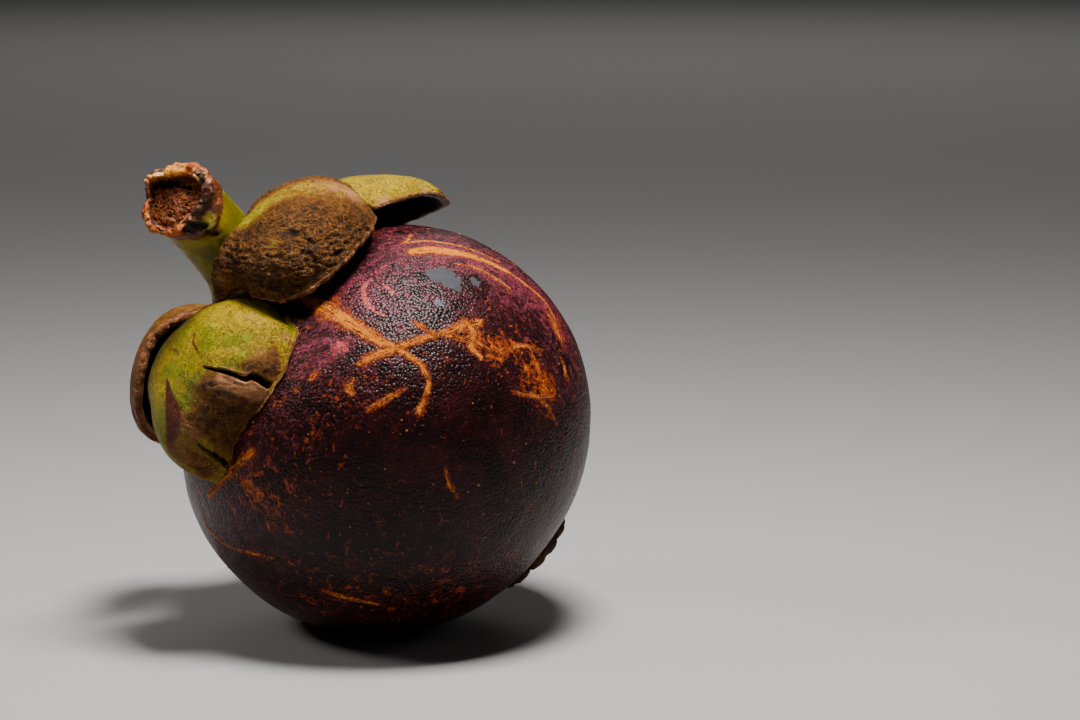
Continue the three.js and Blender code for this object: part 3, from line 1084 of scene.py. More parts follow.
def keep_above_floor(piece: bpy.types.Object) -> None:
    """Flattens what would reach under the floor."""
    points = mesh_points(piece.data)
    points[:, 2] = np.maximum(points[:, 2], 0.0)
    move_points(piece.data, points)


def strewn_over(piece: bpy.types.Object, tree: GeometrySketch) -> None:
    """Makes a piece what a tree sets out over it, shaded smooth."""
    piece.data = tree.applied(piece)
    piece.data.shade_smooth()


@dataclass
class Strip:
    """A course on a skin: its points, in metres, its half width at each, in millimetres, and its fill."""

    points: np.ndarray
    widths: np.ndarray
    fill: float = 0.0


def finish_piece(piece: bpy.types.Object, slot: Slot, *nodes: str) -> None:
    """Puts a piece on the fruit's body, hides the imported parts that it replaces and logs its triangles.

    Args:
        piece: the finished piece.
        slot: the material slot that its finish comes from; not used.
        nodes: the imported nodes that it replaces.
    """
    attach(piece, BODY)
    if nodes:
        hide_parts(*nodes)
    piece.data.calc_loop_triangles()
    log.info("%s: %d triangles", piece.name, len(piece.data.loop_triangles))


class Surface:
    """A skin that marks are put on, found by looking through the camera.

    Runs start this many millimetres apart, so that the patterns along two scars aren't alike.
    """

    run_gap: float = 37.0

    def __init__(self, points: np.ndarray, faces: Sequence[Sequence[int]]) -> None:
        """Keeps the skin, in the row frame and in metres, for ray casts."""
        self.points = points
        self.faces = faces
        self.tree = BVHTree.FromPolygons(points.tolist(), faces)

    def seen(self, pixels: np.ndarray) -> np.ndarray:
        """The points of the skin at pixels, one a row. A ray that misses gives none."""
        eye = Vector(CAMERA.position())
        found = [self.tree.ray_cast(eye, Vector(CAMERA.ray(tuple(p))))[0] for p in pixels]
        return np.array([tuple(f) for f in found if f is not None]).reshape(-1, 3)

    def strip(self, mark: Mark) -> Strip:
        """A mark's course on the skin."""
        points = self.seen(curve_through(mark.course))
        share = np.linspace(0, len(mark.widths) - 1, len(points))
        return Strip(points, np.interp(share, np.arange(len(mark.widths)), mark.widths), mark.fill)

    def along(self, strips: Sequence[Strip]) -> dict[str, np.ndarray]:
        """How each of the skin's points lies to the nearest strip.

        Args:
            strips: the strips.

        Returns:
            By name: near, which is 1 on the strip's middle line, 0 at its half width and down to -1
            away from it; run and side, how far along the strip the point lies and how far beside
            the middle line, in millimetres; and the strip's fill.
        """
        drawn = [strip for strip in strips if len(strip.points) > 1]
        runs = []
        for number, strip in enumerate(drawn):
            lengths = np.linalg.norm(np.diff(strip.points, axis=0), axis=1) / MM
            runs.append(np.concatenate([[0], np.cumsum(lengths)]) + self.run_gap * number)
        places = np.vstack([strip.points for strip in drawn])
        way = np.vstack([unit(np.gradient(strip.points, axis=0)) for strip in drawn])
        width, start = np.concatenate([strip.widths for strip in drawn]), np.concatenate(runs)
        fill = np.concatenate([np.full(len(strip.points), strip.fill) for strip in drawn])
        tree = KDTree(len(places))
        for i, place in enumerate(places):
            tree.insert(place, i)
        tree.balance()
        which = np.array([tree.find(point)[1] for point in self.points])
        away = (self.points - places[which]) / MM
        out = unit(self.points - FORM.middle() * MM)
        near = 1 - np.linalg.norm(away, axis=1) / width[which]
        return {
            "near": np.maximum(near, -1.0),
            "run": start[which] + (away * way[which]).sum(1),
            "side": (away * np.cross(way[which], out)).sum(1),
            "fill": fill[which],
        }

    def patched(self, patches: Sequence[Patch]) -> np.ndarray:
        """The summed strength of soft round patches at each point of the skin."""
        total = np.zeros(len(self.points))
        for patch in patches:
            for middle in self.seen(np.array([patch.place])):
                away = np.linalg.norm(self.points - middle, axis=1) / (patch.radius * MM)
                total += patch.strength * np.exp(-(away**2))
        return total

    def marked(self, marks: Sequence[Mark]) -> np.ndarray:
        """How near each point is to the nearest mark, 1 on it, 0 at its edge and down to -1."""
        if not marks:
            return np.full(len(self.points), -1.0)
        return self.along([self.strip(mark) for mark in marks])["near"]

    def distances(self, points: np.ndarray) -> np.ndarray:
        """How far points lie from the skin, in millimetres."""
        return np.array([self.tree.find_nearest(Vector(point))[3] for point in points]) / MM


# ---------------------------------------------------------------- rind


@dataclass
class Rind:
    """The leathery fruit wall. The marks that the camera sees are placed, and the rest are seeded.

    A hidden scar is a walk of even steps, in millimetres, that swerves a little at each. An edge
    gives the nearness to a mark at which it sets in and at which it is full. Flecks set in between
    two heights over the floor.
    """

    grid: int = 128
    seed: int = 11
    hidden_spread: float = 0.62
    hidden_scars: int = 16
    scar_step: float = 0.4
    scar_steps: tuple[int, int] = (14, 56)
    scar_swerve: float = 0.22
    scar_widths: Span = (0.25, 1.1)
    scar_width_count: int = 4
    scar_fills: Span = (0.0, 0.4)
    hidden_patches: int = 26
    patch_radii: Span = (2.0, 6.0)
    patch_strengths: Span = (-0.06, 0.13)
    welt_edge: Span = (-0.1, 0.7)
    smear_edge: Span = (-0.3, 0.6)
    fleck_heights: Span = (1.2, 3.0)
    finish: RindFinish = RindFinish()
    scars: tuple[Mark, ...] = (
        Mark(((286, 300), (300, 298), (320, 306), (340, 317), (360, 329), (378, 340), (396, 349)),
             (0.6, 0.9, 1.15, 1.2, 1.0, 0.9, 0.8), 0.35),
        Mark(((396, 349), (408, 355), (421, 366), (429, 383), (424, 398), (419, 412)),
             (0.7, 0.45, 0.4, 0.4, 0.35, 0.55), 0.15),
        Mark(((396, 349), (384, 352), (372, 357), (359, 364)), (0.8, 0.75, 0.7, 0.4), 0.2),
        Mark(((396, 349), (410, 343), (428, 337), (446, 332), (462, 326), (480, 322)),
             (0.7, 0.5, 0.55, 0.6, 0.8, 0.6), 0.2),
        Mark(((412, 321), (424, 328), (438, 334), (456, 338), (474, 341), (492, 351), (504, 354)),
             (0.25, 0.35, 0.3, 0.35, 0.4, 0.3, 0.2), 0.1),
        Mark(((466, 322), (474, 334), (471, 346), (481, 358)), (0.7, 0.9, 0.7, 0.4), 0.2),
        Mark(((367, 410), (386, 400), (405, 388)), (0.35, 0.45, 0.3)),
        Mark(((352, 394), (349, 387), (354, 380)), (0.4, 0.6, 0.3)),
        Mark(((413, 252), (432, 250), (451, 252), (470, 256), (490, 263), (510, 273)),
             (0.9, 1.25, 1.2, 0.95, 0.75, 0.55), 0.8),
        Mark(((510, 273), (530, 288), (545, 302), (555, 320)), (0.5, 0.45, 0.45, 0.4), 0.3),
        Mark(((402, 243), (425, 241), (450, 244), (475, 251), (500, 262)),
             (0.2, 0.3, 0.3, 0.3, 0.2), 0.4),
        Mark(((403, 244), (408, 239), (411, 234)), (0.3, 0.35, 0.2), 0.2),
        Mark(((455, 264), (475, 268), (495, 278), (512, 290)), (0.25, 0.35, 0.4, 0.25), 0.2),
        Mark(((252, 453), (238, 464), (222, 480), (209, 495)), (0.7, 0.6, 0.6, 0.5)),
        Mark(((200, 510), (210, 530), (227, 545), (250, 553), (273, 558)), (0.3, 0.35, 0.3, 0.3, 0.2)),
        Mark(((505, 350), (522, 346), (541, 351)), (0.3, 0.4, 0.3)),
        Mark(((512, 392), (532, 396), (553, 396)), (0.25, 0.4, 0.3)),
        Mark(((541, 400), (551, 412), (557, 426)), (0.2, 0.25, 0.15)),
        Mark(((549, 316), (555, 326), (560, 340)), (0.5, 1.0, 0.5)),
        Mark(((558, 352), (564, 366), (566, 380)), (0.2, 0.45, 0.2)),
        Mark(((322, 590), (348, 598), (378, 604)), (0.3, 0.5, 0.3)),
        Mark(((446, 470), (450, 486), (458, 497)), (0.2, 0.3, 0.2)),
        Mark(((276, 372), (288, 352), (300, 333)), (0.2, 0.25, 0.2)),
    )
    mottles: tuple[Patch, ...] = (
        Patch((472, 335), 2.2, 0.16), Patch((520, 360), 3.6, 0.12), Patch((545, 388), 3.8, 0.13),
        Patch((557, 328), 2.2, 0.16), Patch((272, 505), 4.6, 0.09), Patch((240, 475), 3.4, 0.10),
        Patch((418, 412), 1.6, 0.14), Patch((350, 388), 1.4, 0.12), Patch((314, 376), 1.2, 0.12),
        Patch((328, 314), 2.4, 0.16), Patch((372, 358), 1.8, 0.10), Patch((500, 345), 2.4, 0.08),
        Patch((345, 600), 6.0, 0.06), Patch((440, 590), 5.0, 0.06), Patch((305, 440), 2.5, 0.06),
        Patch((430, 290), 5.0, -0.12), Patch((420, 460), 9.0, -0.06), Patch((390, 300), 4.0, -0.08),
        Patch((500, 440), 8.0, -0.05), Patch((380, 265), 4.0, -0.08),
    )
    # magenta flushes, with negative patches that paint shade on the lower half
    flush_and_shade_patches: tuple[Patch, ...] = (
        Patch((560, 330), 6.0, 0.09), Patch((525, 285), 7.0, 0.11), Patch((360, 290), 6.0, 0.11),
        Patch((470, 262), 7.0, 0.12), Patch((420, 500), 12.0, -0.14), Patch((500, 450), 9.0, -0.10),
        Patch((340, 346), 1.3, 0.16), Patch((315, 350), 5.0, 0.09), Patch((476, 285), 1.7, -0.30),
        Patch((350, 560), 12.0, -0.08), Patch((405, 245), 7.0, 0.10), Patch((470, 400), 6.0, -0.08),
        Patch((420, 325), 4.0, 0.03),
    )
    smears: tuple[Mark, ...] = (
        Mark(((372, 279), (366, 284), (363, 291), (366, 301), (372, 309), (385, 316)),
             (0.35, 0.6, 0.5, 0.6, 0.4, 0.3)),
        Mark(((383, 285), (388, 288), (393, 294)), (0.35, 0.5, 0.35)),
        Mark(((337, 343), (342, 346), (347, 350)), (0.5, 0.75, 0.5)),
    )
    # smooth patches without grain, whose grey colour is a painted reflection
    smooth_sheen_patches: tuple[Patch, ...] = (
        Patch((436, 274), 1.9, 0.75), Patch((452, 282), 1.7, 0.75), Patch((447, 272), 1.2, 0.4),
        Patch((439, 303), 0.8, 0.7), Patch((474, 281), 1.3, 0.6), Patch((375, 290), 0.9, 0.5),
        Patch((404, 281), 0.6, 0.5),
    )

    def base(self) -> tuple[np.ndarray, list[list[int]]]:
        """The bare skin: a cube's grid blown up to the rind's form.

        Returns:
            Its points, in the fruit's own frame, and its faces.
        """
        n = self.grid
        line = np.tan(np.linspace(-math.pi / 4, math.pi / 4, n + 1))
        u, v = np.meshgrid(line, line, indexing="ij")
        one = np.ones_like(u)
        sides = [(one, u, v), (-one, v, u), (v, one, u), (u, -one, v), (u, v, one), (v, u, -one)]
        corner = (np.arange(n)[:, None] * (n + 1) + np.arange(n)).ravel()
        quads = np.stack([corner, corner + n + 1, corner + n + 2, corner + 1], -1)
        points = np.vstack([np.stack([a.ravel(), b.ravel(), c.ravel()], -1) for a, b, c in sides])
        faces = np.vstack([quads + i * (n + 1) ** 2 for i in range(len(sides))])
        points = unit(points)
        _, first, which = np.unique(points.round(6), axis=0, return_index=True, return_inverse=True)
        return FORM.towards(points[first] * FORM.radius), which.ravel()[faces].tolist()

    def hidden_place(self, rng: np.random.Generator) -> np.ndarray:
        """A random place on the side away from the camera, in the fruit's own frame."""
        eye = FORM.to_fruit(CAMERA.position()[None])[0]
        place = rng.normal(0, self.hidden_spread, 3) - unit(eye)
        return FORM.towards(place[None] * FORM.radius)[0]

    def walked_scar(self, rng: np.random.Generator) -> Strip:
        """A scar on the hidden side, as a walk that turns a little at each step."""
        place = self.hidden_place(rng)
        heading = rng.normal(0, 1, 3)
        course = []
        for _ in range(int(rng.integers(*self.scar_steps))):
            course.append(place)
            out = unit(place)
            heading = heading + rng.normal(0, self.scar_swerve, 3)
            heading = unit(heading - out * (heading @ out))
            place = FORM.towards((place + self.scar_step * heading)[None])[0]
        given = rng.uniform(*self.scar_widths, self.scar_width_count)
        share = np.linspace(0, len(given) - 1, len(course))
        widths = np.interp(share, np.arange(len(given)), given)
        return Strip(FORM.to_row(np.array(course)), widths, rng.uniform(*self.scar_fills))

    def hidden_mottle(self, points: np.ndarray, rng: np.random.Generator) -> np.ndarray:
        """The strength at each point of soft mottled patches on the side away from the camera."""
        total = np.zeros(len(points))
        for _ in range(self.hidden_patches):
            away = np.linalg.norm(points - self.hidden_place(rng), axis=1)
            away = away / rng.uniform(*self.patch_radii)
            total += rng.uniform(*self.patch_strengths) * np.exp(-(away**2))
        return total

    def make(self) -> bpy.types.Object:
        """Makes the rind.

        Returns:
            Its object.
        """
        rng = np.random.default_rng(self.seed)
        bare, faces = self.base()
        points = FORM.to_row(bare)
        skin = Surface(points, faces)
        strips = [skin.strip(scar) for scar in self.scars]
        strips += [self.walked_scar(rng) for _ in range(self.hidden_scars)]
        scar = skin.along(strips)
        smooth = skin.patched(self.smooth_sheen_patches)
        off_floor = soft_step(points[:, 2] / MM, *self.fleck_heights)
        attributes = {
            "scar": scar["near"],
            "scar_run": scar["run"],
            "scar_side": scar["side"],
            "scar_fill": scar["fill"],
            "welt": soft_step(scar["near"], *self.welt_edge),
            "mottle": skin.patched(self.mottles) + self.hidden_mottle(bare, rng),
            "flush_and_shade": skin.patched(self.flush_and_shade_patches),
            "smear": soft_step(skin.marked(self.smears), *self.smear_edge),
            "smooth": smooth,
            "fleck": off_floor * (1 - np.clip(smooth, 0, 1)),
        }
        piece = make_piece("rind_skin", points, faces, attributes)
        relief = Relief(
            "rind_relief",
            [Lumps(9.0, 0.16, seed=0.3), Lumps(2.4, 0.07, detail=4.0, seed=0.6)],
            [Carving("welt", 0.06)],
        )
        relief.applied(piece, self.finish.make())
        keep_above_floor(piece)
        finish_piece(piece, Slot.RIND, "rind")
        return piece


@dataclass
class Flecks:
    """Small raised corky flecks, strewn over the rind by a geometry tree. Sizes are in millimetres.

    The higher the smallness, the rarer are large ones.
    """

    each_square_centimetre: float = 7.0
    smallest: float = 0.08
    largest: float = 0.22
    smallness: float = 2.5
    flatness: float = 0.38
    subdivisions: int = 2
    seed: int = 21
    finish: WoodyFinish = WoodyFinish("fleck_cork", (0.10, 0.020, 0.006), (0.34, 0.12, 0.020), 0.5)

    def make(self, rind: bpy.types.Object) -> None:
        """Makes the flecks on the finished rind."""
        piece = linked("rind_flecks", rind.data.copy())
        s = GeometrySketch("rind_flecks")
        thick = s.input("Flecks in a square metre", self.each_square_centimetre * SQUARE_CENTIMETRES)
        low = s.input("Smallest", self.smallest * MM)
        high = s.input("Largest", self.largest * MM)
        seed = s.input("Seed", self.seed)
        strewn = s.add(
            "GeometryNodeDistributePointsOnFaces",
            {
                "Mesh": s.entry.outputs["Geometry"], "Seed": seed,
                "Density": s.times(thick, s.attribute("fleck")),
            },
        ).outputs
        grain = s.add("GeometryNodeMeshIcoSphere", {"Radius": 1.0, "Subdivisions": self.subdivisions})
        chance = s.add("FunctionNodeRandomValue", {"Seed": seed}, data_type="FLOAT").outputs[1]
        share = s.maths("POWER", chance, self.smallness)
        size = s.add("ShaderNodeMapRange", {"Value": share, "To Min": low, "To Max": high}).outputs["Result"]
        flat = s.add("ShaderNodeCombineXYZ", {"X": size, "Y": size, "Z": s.times(size, self.flatness)})
        s.finish_copies(
            strewn["Points"], grain.outputs["Mesh"], strewn["Rotation"], flat.outputs[0], self.finish.make()
        )
        strewn_over(piece, s)
        finish_piece(piece, Slot.RIND)


# ---------------------------------------------------------------- sepals


@dataclass(frozen=True)
class WearEdges:
    """The low and the high end of the soft step at which each kind of wear, and of painted shade, on a sepal
    sets in.

    Crack, welt and scorch go by the nearness to a mark, and inside by the way round the margin's
    edge. Trench goes by the gap to the sepal over it and lip by the distance from the margin, and
    both are full under the low end.
    """

    inside: Span = (0.35, 0.75)
    scorch: Span = (-0.4, 0.6)
    crack: Span = (-0.05, 0.45)
    welt: Span = (-1.0, -0.1)
    trench: Span = (0.55, 1.0)
    lip: Span = (0.7, 1.6)


@dataclass
class Sepal:
    """A thick hood over the rind's shoulder, in millimetres and degrees.

    Its crest stands over the rind at a distance from the stalk axis. The margin's reach from the
    crest and its lift off the rind are given every eighth of a turn, first straight outwards, and
    the fifth is the root by the stalk. The hood ends at these shares of a quarter turn down from
    its crest. The margin waves a little and has one pointed ear, given by its angle, reach and
    width. A trench keeps it clear of the sepals that lie over it. A crowding under 1 draws the
    rings towards the margin, and thickening is how late the wall reaches its full thickness.
    """

    node: str
    azimuth: float
    distance: float
    crest: float
    ends: tuple[float, ...]
    phase: float
    reach: tuple[float, ...]
    lift: tuple[float, ...]
    ear: tuple[float, float, float]
    cork: float
    cork_and_shade_patches: tuple[Patch, ...] = ()
    ripe_and_shade_patches: tuple[Patch, ...] = ()
    pale_and_glint_patches: tuple[Patch, ...] = ()
    cracks: tuple[Mark, ...] = ()
    scorches: tuple[Mark, ...] = ()
    under: tuple[str, ...] = ()
    rim: float = 0.6
    jag: float = 0.0
    trench: float = 0.8
    wrinkle: float = 0.30
    seed: float = 0.0
    thickness: float = 1.9
    edge: float = 1.1
    fullness: float = 2.25
    least_gap: float = 0.12
    ruffles: Waves = ((0.012, 6, 1),)
    fine_ruffles: Waves = ((0.008, 17, 3), (0.005, 31, 1))
    teeth: Waves = ((1.0, 19, 1), (0.6, 43, 2))
    trench_waves: Waves = ((0.22, 9, 1), (0.14, 23, 2))
    ear_sharpness: float = 1.5
    crowding: float = 0.9
    thickening: int = 3
    most_cork: float = 1.4
    inner_margin: float = 0.3
    wear: WearEdges = WearEdges()
    segments: int = 384
    outer_rings: int = 128
    edge_rings: int = 7
    inner_rings: int = 34

    def placing(self) -> tuple[np.ndarray, np.ndarray]:
        """The hood's frame: its axes outwards, across and off the rind, and its seat."""
        a = math.radians(self.azimuth)
        seats = self.distance + np.array([0.0, 1.0, -1.0])
        seat, outer, inner = FORM.over(seats * math.cos(a), seats * math.sin(a), End.STEM)
        along = unit(outer - inner)
        across = np.array([-math.sin(a), math.cos(a), 0.0])
        return np.array([along, across, np.cross(along, across)]), seat

    def margin_reach(self, around: np.ndarray) -> np.ndarray:
        """How far the hood's widest line lies from its crest, at angles round it."""
        ruffle = waved(1, self.ruffles, around, self.phase)
        fine = waved(1, self.fine_ruffles, around, self.phase)
        at, reach, width = self.ear
        at = math.radians(at)
        off = np.abs(np.arctan2(np.sin(around - at), np.cos(around - at)))
        ear = reach * np.exp(-((off / math.radians(width)) ** self.ear_sharpness))
        return round_value(self.reach, around) * ruffle * fine + ear

    def end(self, around: np.ndarray) -> np.ndarray:
        """The share of a quarter turn from the crest where the hood ends, at angles round it."""
        return round_value(self.ends, around) + self.jag * waved(0, self.teeth, around, self.phase)

    def shell(self, share: np.ndarray, around: np.ndarray, depth: np.ndarray) -> np.ndarray:
        """Points of the hood.

        Args:
            share: from 0 at the crest past 1 at its widest line.
            around: angles round the crest, from straight outwards.
            depth: depths under its skin.

        Returns:
            The points, in the fruit's own frame.
        """
        power = 2 / self.fullness
        angle = share * math.pi / 2
        reach = self.margin_reach(around)
        low = round_value(self.lift, around) - reach**2 / (2 * FORM.radius)
        out = (reach - depth) * np.sin(angle) ** power
        fall = np.cos(angle)
        high = low + (self.crest - depth - low) * np.sign(fall) * np.abs(fall) ** power
        local = np.stack([out * np.cos(around), out * np.sin(around), high], -1)
        axes, seat = self.placing()
        return FORM.rested(local @ axes + seat, self.least_gap)

    def profile(self) -> tuple[np.ndarray, np.ndarray, np.ndarray]:
        """The rings from the crest over the rounded margin and back under the hood.

        Returns:
            Each ring's share of the way to the margin, its depth, and whether it is inside, 0 to 1.
        """
        outer = np.sin(np.linspace(0, 1, self.outer_rings + 1)[1:] * math.pi / 2) ** self.crowding
        turn = np.linspace(0, math.pi, self.edge_rings + 2)[1:-1]
        typical = float(np.mean(self.reach)) * math.pi / 2
        edge = 1 + self.edge / 2 * np.sin(turn) / typical
        inner = np.linspace(1, 0, self.inner_rings + 1)[:-1]
        body = self.edge + (self.thickness - self.edge) * (1 - inner**self.thickening)
        shares = np.concatenate([outer, edge, inner])
        depths = np.concatenate([np.zeros_like(outer), self.edge / 2 * (1 - np.cos(turn)), body])
        inside = np.concatenate([np.zeros_like(outer), np.linspace(0, 1, len(turn)), np.ones_like(inner)])
        return shares, depths, inside

    def skin(self) -> Surface:
        """The hood's skin."""
        shares, depths, _ = self.profile()
        share, angle = np.meshgrid(shares, even_turn(self.segments), indexing="ij")
        depth = np.repeat(depths[:, None], self.segments, axis=1)
        rings = self.shell(share * self.end(angle), angle, depth).reshape(-1, 3)
        tip = np.zeros(1)
        top = self.shell(tip, tip, tip)
        below = self.shell(tip, tip, tip + self.thickness)
        points = FORM.to_row(np.vstack([top, rings, below]))
        return Surface(points, loft_faces(len(shares), self.segments))

    def attributes(self, skin: Surface, covers: Sequence[Surface]) -> dict[str, np.ndarray]:
        """The hood's wear, and the masks of its painted shade and painted highlights.

        Args:
            skin: its own skin.
            covers: the skins of the sepals that lie over it.

        Returns:
            A number for each point, by name. The margin's is the distance from it as a multiple of
            the rim's width.
        """
        shares, _, inside_rings = self.profile()
        inside = spread_rings(inside_rings, self.segments)
        outside = 1 - inside
        around = np.concatenate([[0.0], np.tile(even_turn(self.segments), len(shares)), [0.0]])
        left = 1 - spread_rings(shares, self.segments)
        margin = left * self.end(around) * self.margin_reach(around) * math.pi / 2
        margin = np.maximum(margin, 0) / self.rim
        wave = waved(1, self.trench_waves, around, self.phase)
        wear = self.wear
        trench = np.zeros(len(skin.points))
        for cover in covers:
            gap = cover.distances(skin.points) / (self.trench * wave)
            trench = np.maximum(trench, soft_fall(gap, *wear.trench))
        return {
            "inside": soft_step(inside, *wear.inside),
            "margin": margin + self.inner_margin * inside,
            "cork": np.clip(self.cork + skin.patched(self.cork_and_shade_patches), 0, self.most_cork) * outside,
            "ripe": skin.patched(self.ripe_and_shade_patches),
            "pale": np.clip(skin.patched(self.pale_and_glint_patches), 0, 1) * outside,
            "scorch": soft_step(skin.marked(self.scorches), *wear.scorch) * outside,
            "crack": soft_step(skin.marked(self.cracks), *wear.crack) * outside,
            "welt": soft_step(skin.marked(self.cracks), *wear.welt) * outside,
            "trench": trench * outside,
            "lip": soft_fall(margin, *wear.lip) * outside,
        }

    def make(self, skin: Surface, covers: Sequence[Surface], material: bpy.types.Material) -> None:
        """Makes the sepal.

        Args:
            skin: its skin.
            covers: the skins of the sepals that lie over it.
            material: its material.
        """
        piece = make_piece(f"{self.node}_hood", skin.points, skin.faces, self.attributes(skin, covers))
        relief = Relief(
            f"{self.node}_relief",
            [
                Lumps(7.0, 0.25, seed=self.seed),
                Lumps(2.6, self.wrinkle, mask="cork", detail=5.0, roughness=0.62, ridged=True,
                      seed=self.seed + 0.2, warp=0.6, squeeze=(0.5, 1.0, 1.2)),
                Lumps(0.9, 0.5 * self.wrinkle, mask="cork", roughness=0.6, seed=self.seed + 0.5,
                      warp=0.4, squeeze=(0.4, 1.0, 1.1)),
            ],
            [Carving("crack", -1.3), Carving("welt", 0.16), Carving("trench", -1.3), Carving("lip", 0.12)],
        )
        relief.applied(piece, material)
        finish_piece(piece, Slot.SEPAL, self.node)


@dataclass
class Calyx:
    """The four sepals, in two crossed pairs."""

    finish: SepalFinish = SepalFinish()

    def sepals(self) -> tuple[Sepal, ...]:
        """The four sepals with their own sizes and wear."""
        front = Sepal(
            node="sepal_front", azimuth=-54, distance=14.5, crest=8.2, phase=0.4,
            ends=(1.16,),
            reach=(14.0, 12.6, 15.6, 14.4, 10.0, 11.0, 10.9, 8.9),
            lift=(1.6, 1.6, 1.6, 1.8, 3.0, 3.0, 2.4, 1.6),
            ear=(104, 1.2, 13), cork=0.06, seed=0.1, under=("sepal_top",), rim=0.9, trench=0.6, wrinkle=0.40,
            cork_and_shade_patches=(
                Patch((245, 400), 3.6, 0.85), Patch((215, 415), 3.6, 0.75), Patch((235, 440), 3.0, 0.6),
                Patch((207, 385), 1.8, 0.55), Patch((272, 362), 2.2, 0.80), Patch((250, 364), 1.5, 0.4),
                # the patches at (190, 455), (205, 470) and (172, 450) are painted shade on the lower tip
                Patch((190, 425), 2.2, 0.45), Patch((222, 378), 1.6, 0.5), Patch((190, 455), 2.6, 0.45),
                Patch((205, 470), 2.4, 0.75), Patch((172, 450), 1.8, 0.45), Patch((200, 345), 2.0, 0.18),
            ),
            ripe_and_shade_patches=(
                Patch((255, 315), 4.0, 0.25), Patch((158, 370), 3.0, 0.20), Patch((220, 346), 3.0, -0.10),
                # the negative patch at (190, 455) is painted shade: the lower tip greener and darker
                Patch((190, 455), 3.5, -0.35), Patch((175, 345), 3.0, 0.12),
            ),
            pale_and_glint_patches=(
                # partly pink colour and partly painted highlights, on the crack's lower lip and the upper
                # right
                Patch((262, 352), 1.6, 0.4), Patch((225, 378), 1.3, 1.3), Patch((243, 386), 1.5, 1.6),
                Patch((259, 391), 1.4, 1.4), Patch((254, 316), 2.0, 0.4), Patch((286, 336), 1.0, 0.6),
            ),
            cracks=(
                Mark(((268, 385), (253, 377), (245, 379), (226, 372), (204, 367)),
                     (0.60, 0.5, 0.45, 0.35, 0.12)),
                Mark(((228, 465), (213, 455), (199, 446)), (0.45, 0.35, 0.15)),
            ),
            scorches=(
                Mark(((167, 379), (169, 393), (171, 408), (173, 422), (170, 438)),
                     (0.2, 0.8, 1.5, 1.9, 1.0)),
                Mark(((196, 333), (194, 344), (202, 357)), (0.12, 0.24, 0.12)),
                Mark(((171, 349), (176, 351), (179, 355)), (0.12, 0.2, 0.1)),
            ),
        )
        left = Sepal(
            node="sepal_left", azimuth=-134, distance=16.0, crest=10.1, phase=2.2,
            ends=(1.09, 0.95, 0.62, 0.44, 0.72, 1.09, 1.09, 1.09),
            reach=(11.4, 13.2, 14.6, 12.3, 9.3, 8.4, 9.2, 11.0),
            lift=(3.6, 3.4, 3.0, 2.0, 1.0, 1.6, 3.0, 3.4),
            ear=(20, 0.6, 13), cork=0.62, seed=0.35, under=("sepal_top",), rim=1.2, jag=0.008, wrinkle=0.26,
            scorches=(Mark(((140, 396), (136, 410), (131, 424)), (0.6, 1.0, 1.2)),),
        )
        top = Sepal(
            node="sepal_top", azimuth=56, distance=13.2, crest=12.2, phase=1.3,
            ends=(1.04,),
            reach=(9.6, 11.2, 12.4, 12.0, 8.4, 10.6, 12.0, 10.4),
            lift=(4.0, 4.0, 4.4, 5.0, 6.6, 7.6, 5.0, 4.2),
            ear=(222, 4.0, 8), cork=1.05, seed=0.6, rim=0.12, wrinkle=0.80,
            cork_and_shade_patches=(
                Patch((256, 210), 2.4, -1.05), Patch((243, 222), 1.7, -0.70), Patch((275, 242), 1.6, -0.55),
                Patch((282, 194), 3.2, -0.55), Patch((310, 188), 3.4, -0.50), Patch((338, 188), 3.4, -0.42),
                Patch((358, 198), 2.4, -0.35), Patch((228, 280), 2.2, -0.40), Patch((335, 205), 3.0, -0.15),
            ),
            ripe_and_shade_patches=(Patch((254, 214), 2.8, 0.05), Patch((275, 242), 1.8, -0.1), Patch((320, 190), 6.0, 0.3)),
            pale_and_glint_patches=(Patch((330, 186), 3.4, 0.4), Patch((355, 194), 2.8, 0.5)),
        )
        back = Sepal(
            node="sepal_back", azimuth=114, distance=19.0, crest=8.2, phase=3.0,
            ends=(1.02,),
            reach=(15.8, 14.2, 11.0, 12.5, 13.4, 12.0, 11.0, 12.6),
            lift=(5.2, 3.2, 2.2, 2.6, 2.8, 3.0, 3.8, 4.8),
            ear=(4, 1.2, 13), cork=0.05, seed=0.85, under=("sepal_top",), rim=0.9, fullness=1.8, wrinkle=0.22,
            ripe_and_shade_patches=(Patch((395, 185), 9.0, 0.3),),
            cork_and_shade_patches=(
                Patch((392, 212), 1.6, 0.35), Patch((412, 208), 1.6, 0.40), Patch((430, 202), 2.0, 0.55),
                Patch((442, 198), 2.0, 0.7),
            ),
            pale_and_glint_patches=(Patch((385, 204), 1.6, 0.8), Patch((405, 200), 1.6, 0.9), Patch((425, 195), 1.6, 0.8)),
            scorches=(Mark(((440, 194), (443, 201), (445, 210)), (0.7, 1.1, 1.2)),),
        )
        return front, left, top, back

    def make(self) -> None:
        """Makes the sepals."""
        material = self.finish.make()
        sepals = self.sepals()
        skins = {sepal.node: sepal.skin() for sepal in sepals}
        for sepal in sepals:
            sepal.make(skins[sepal.node], [skins[node] for node in sepal.under], material)


# ---------------------------------------------------------------- stem


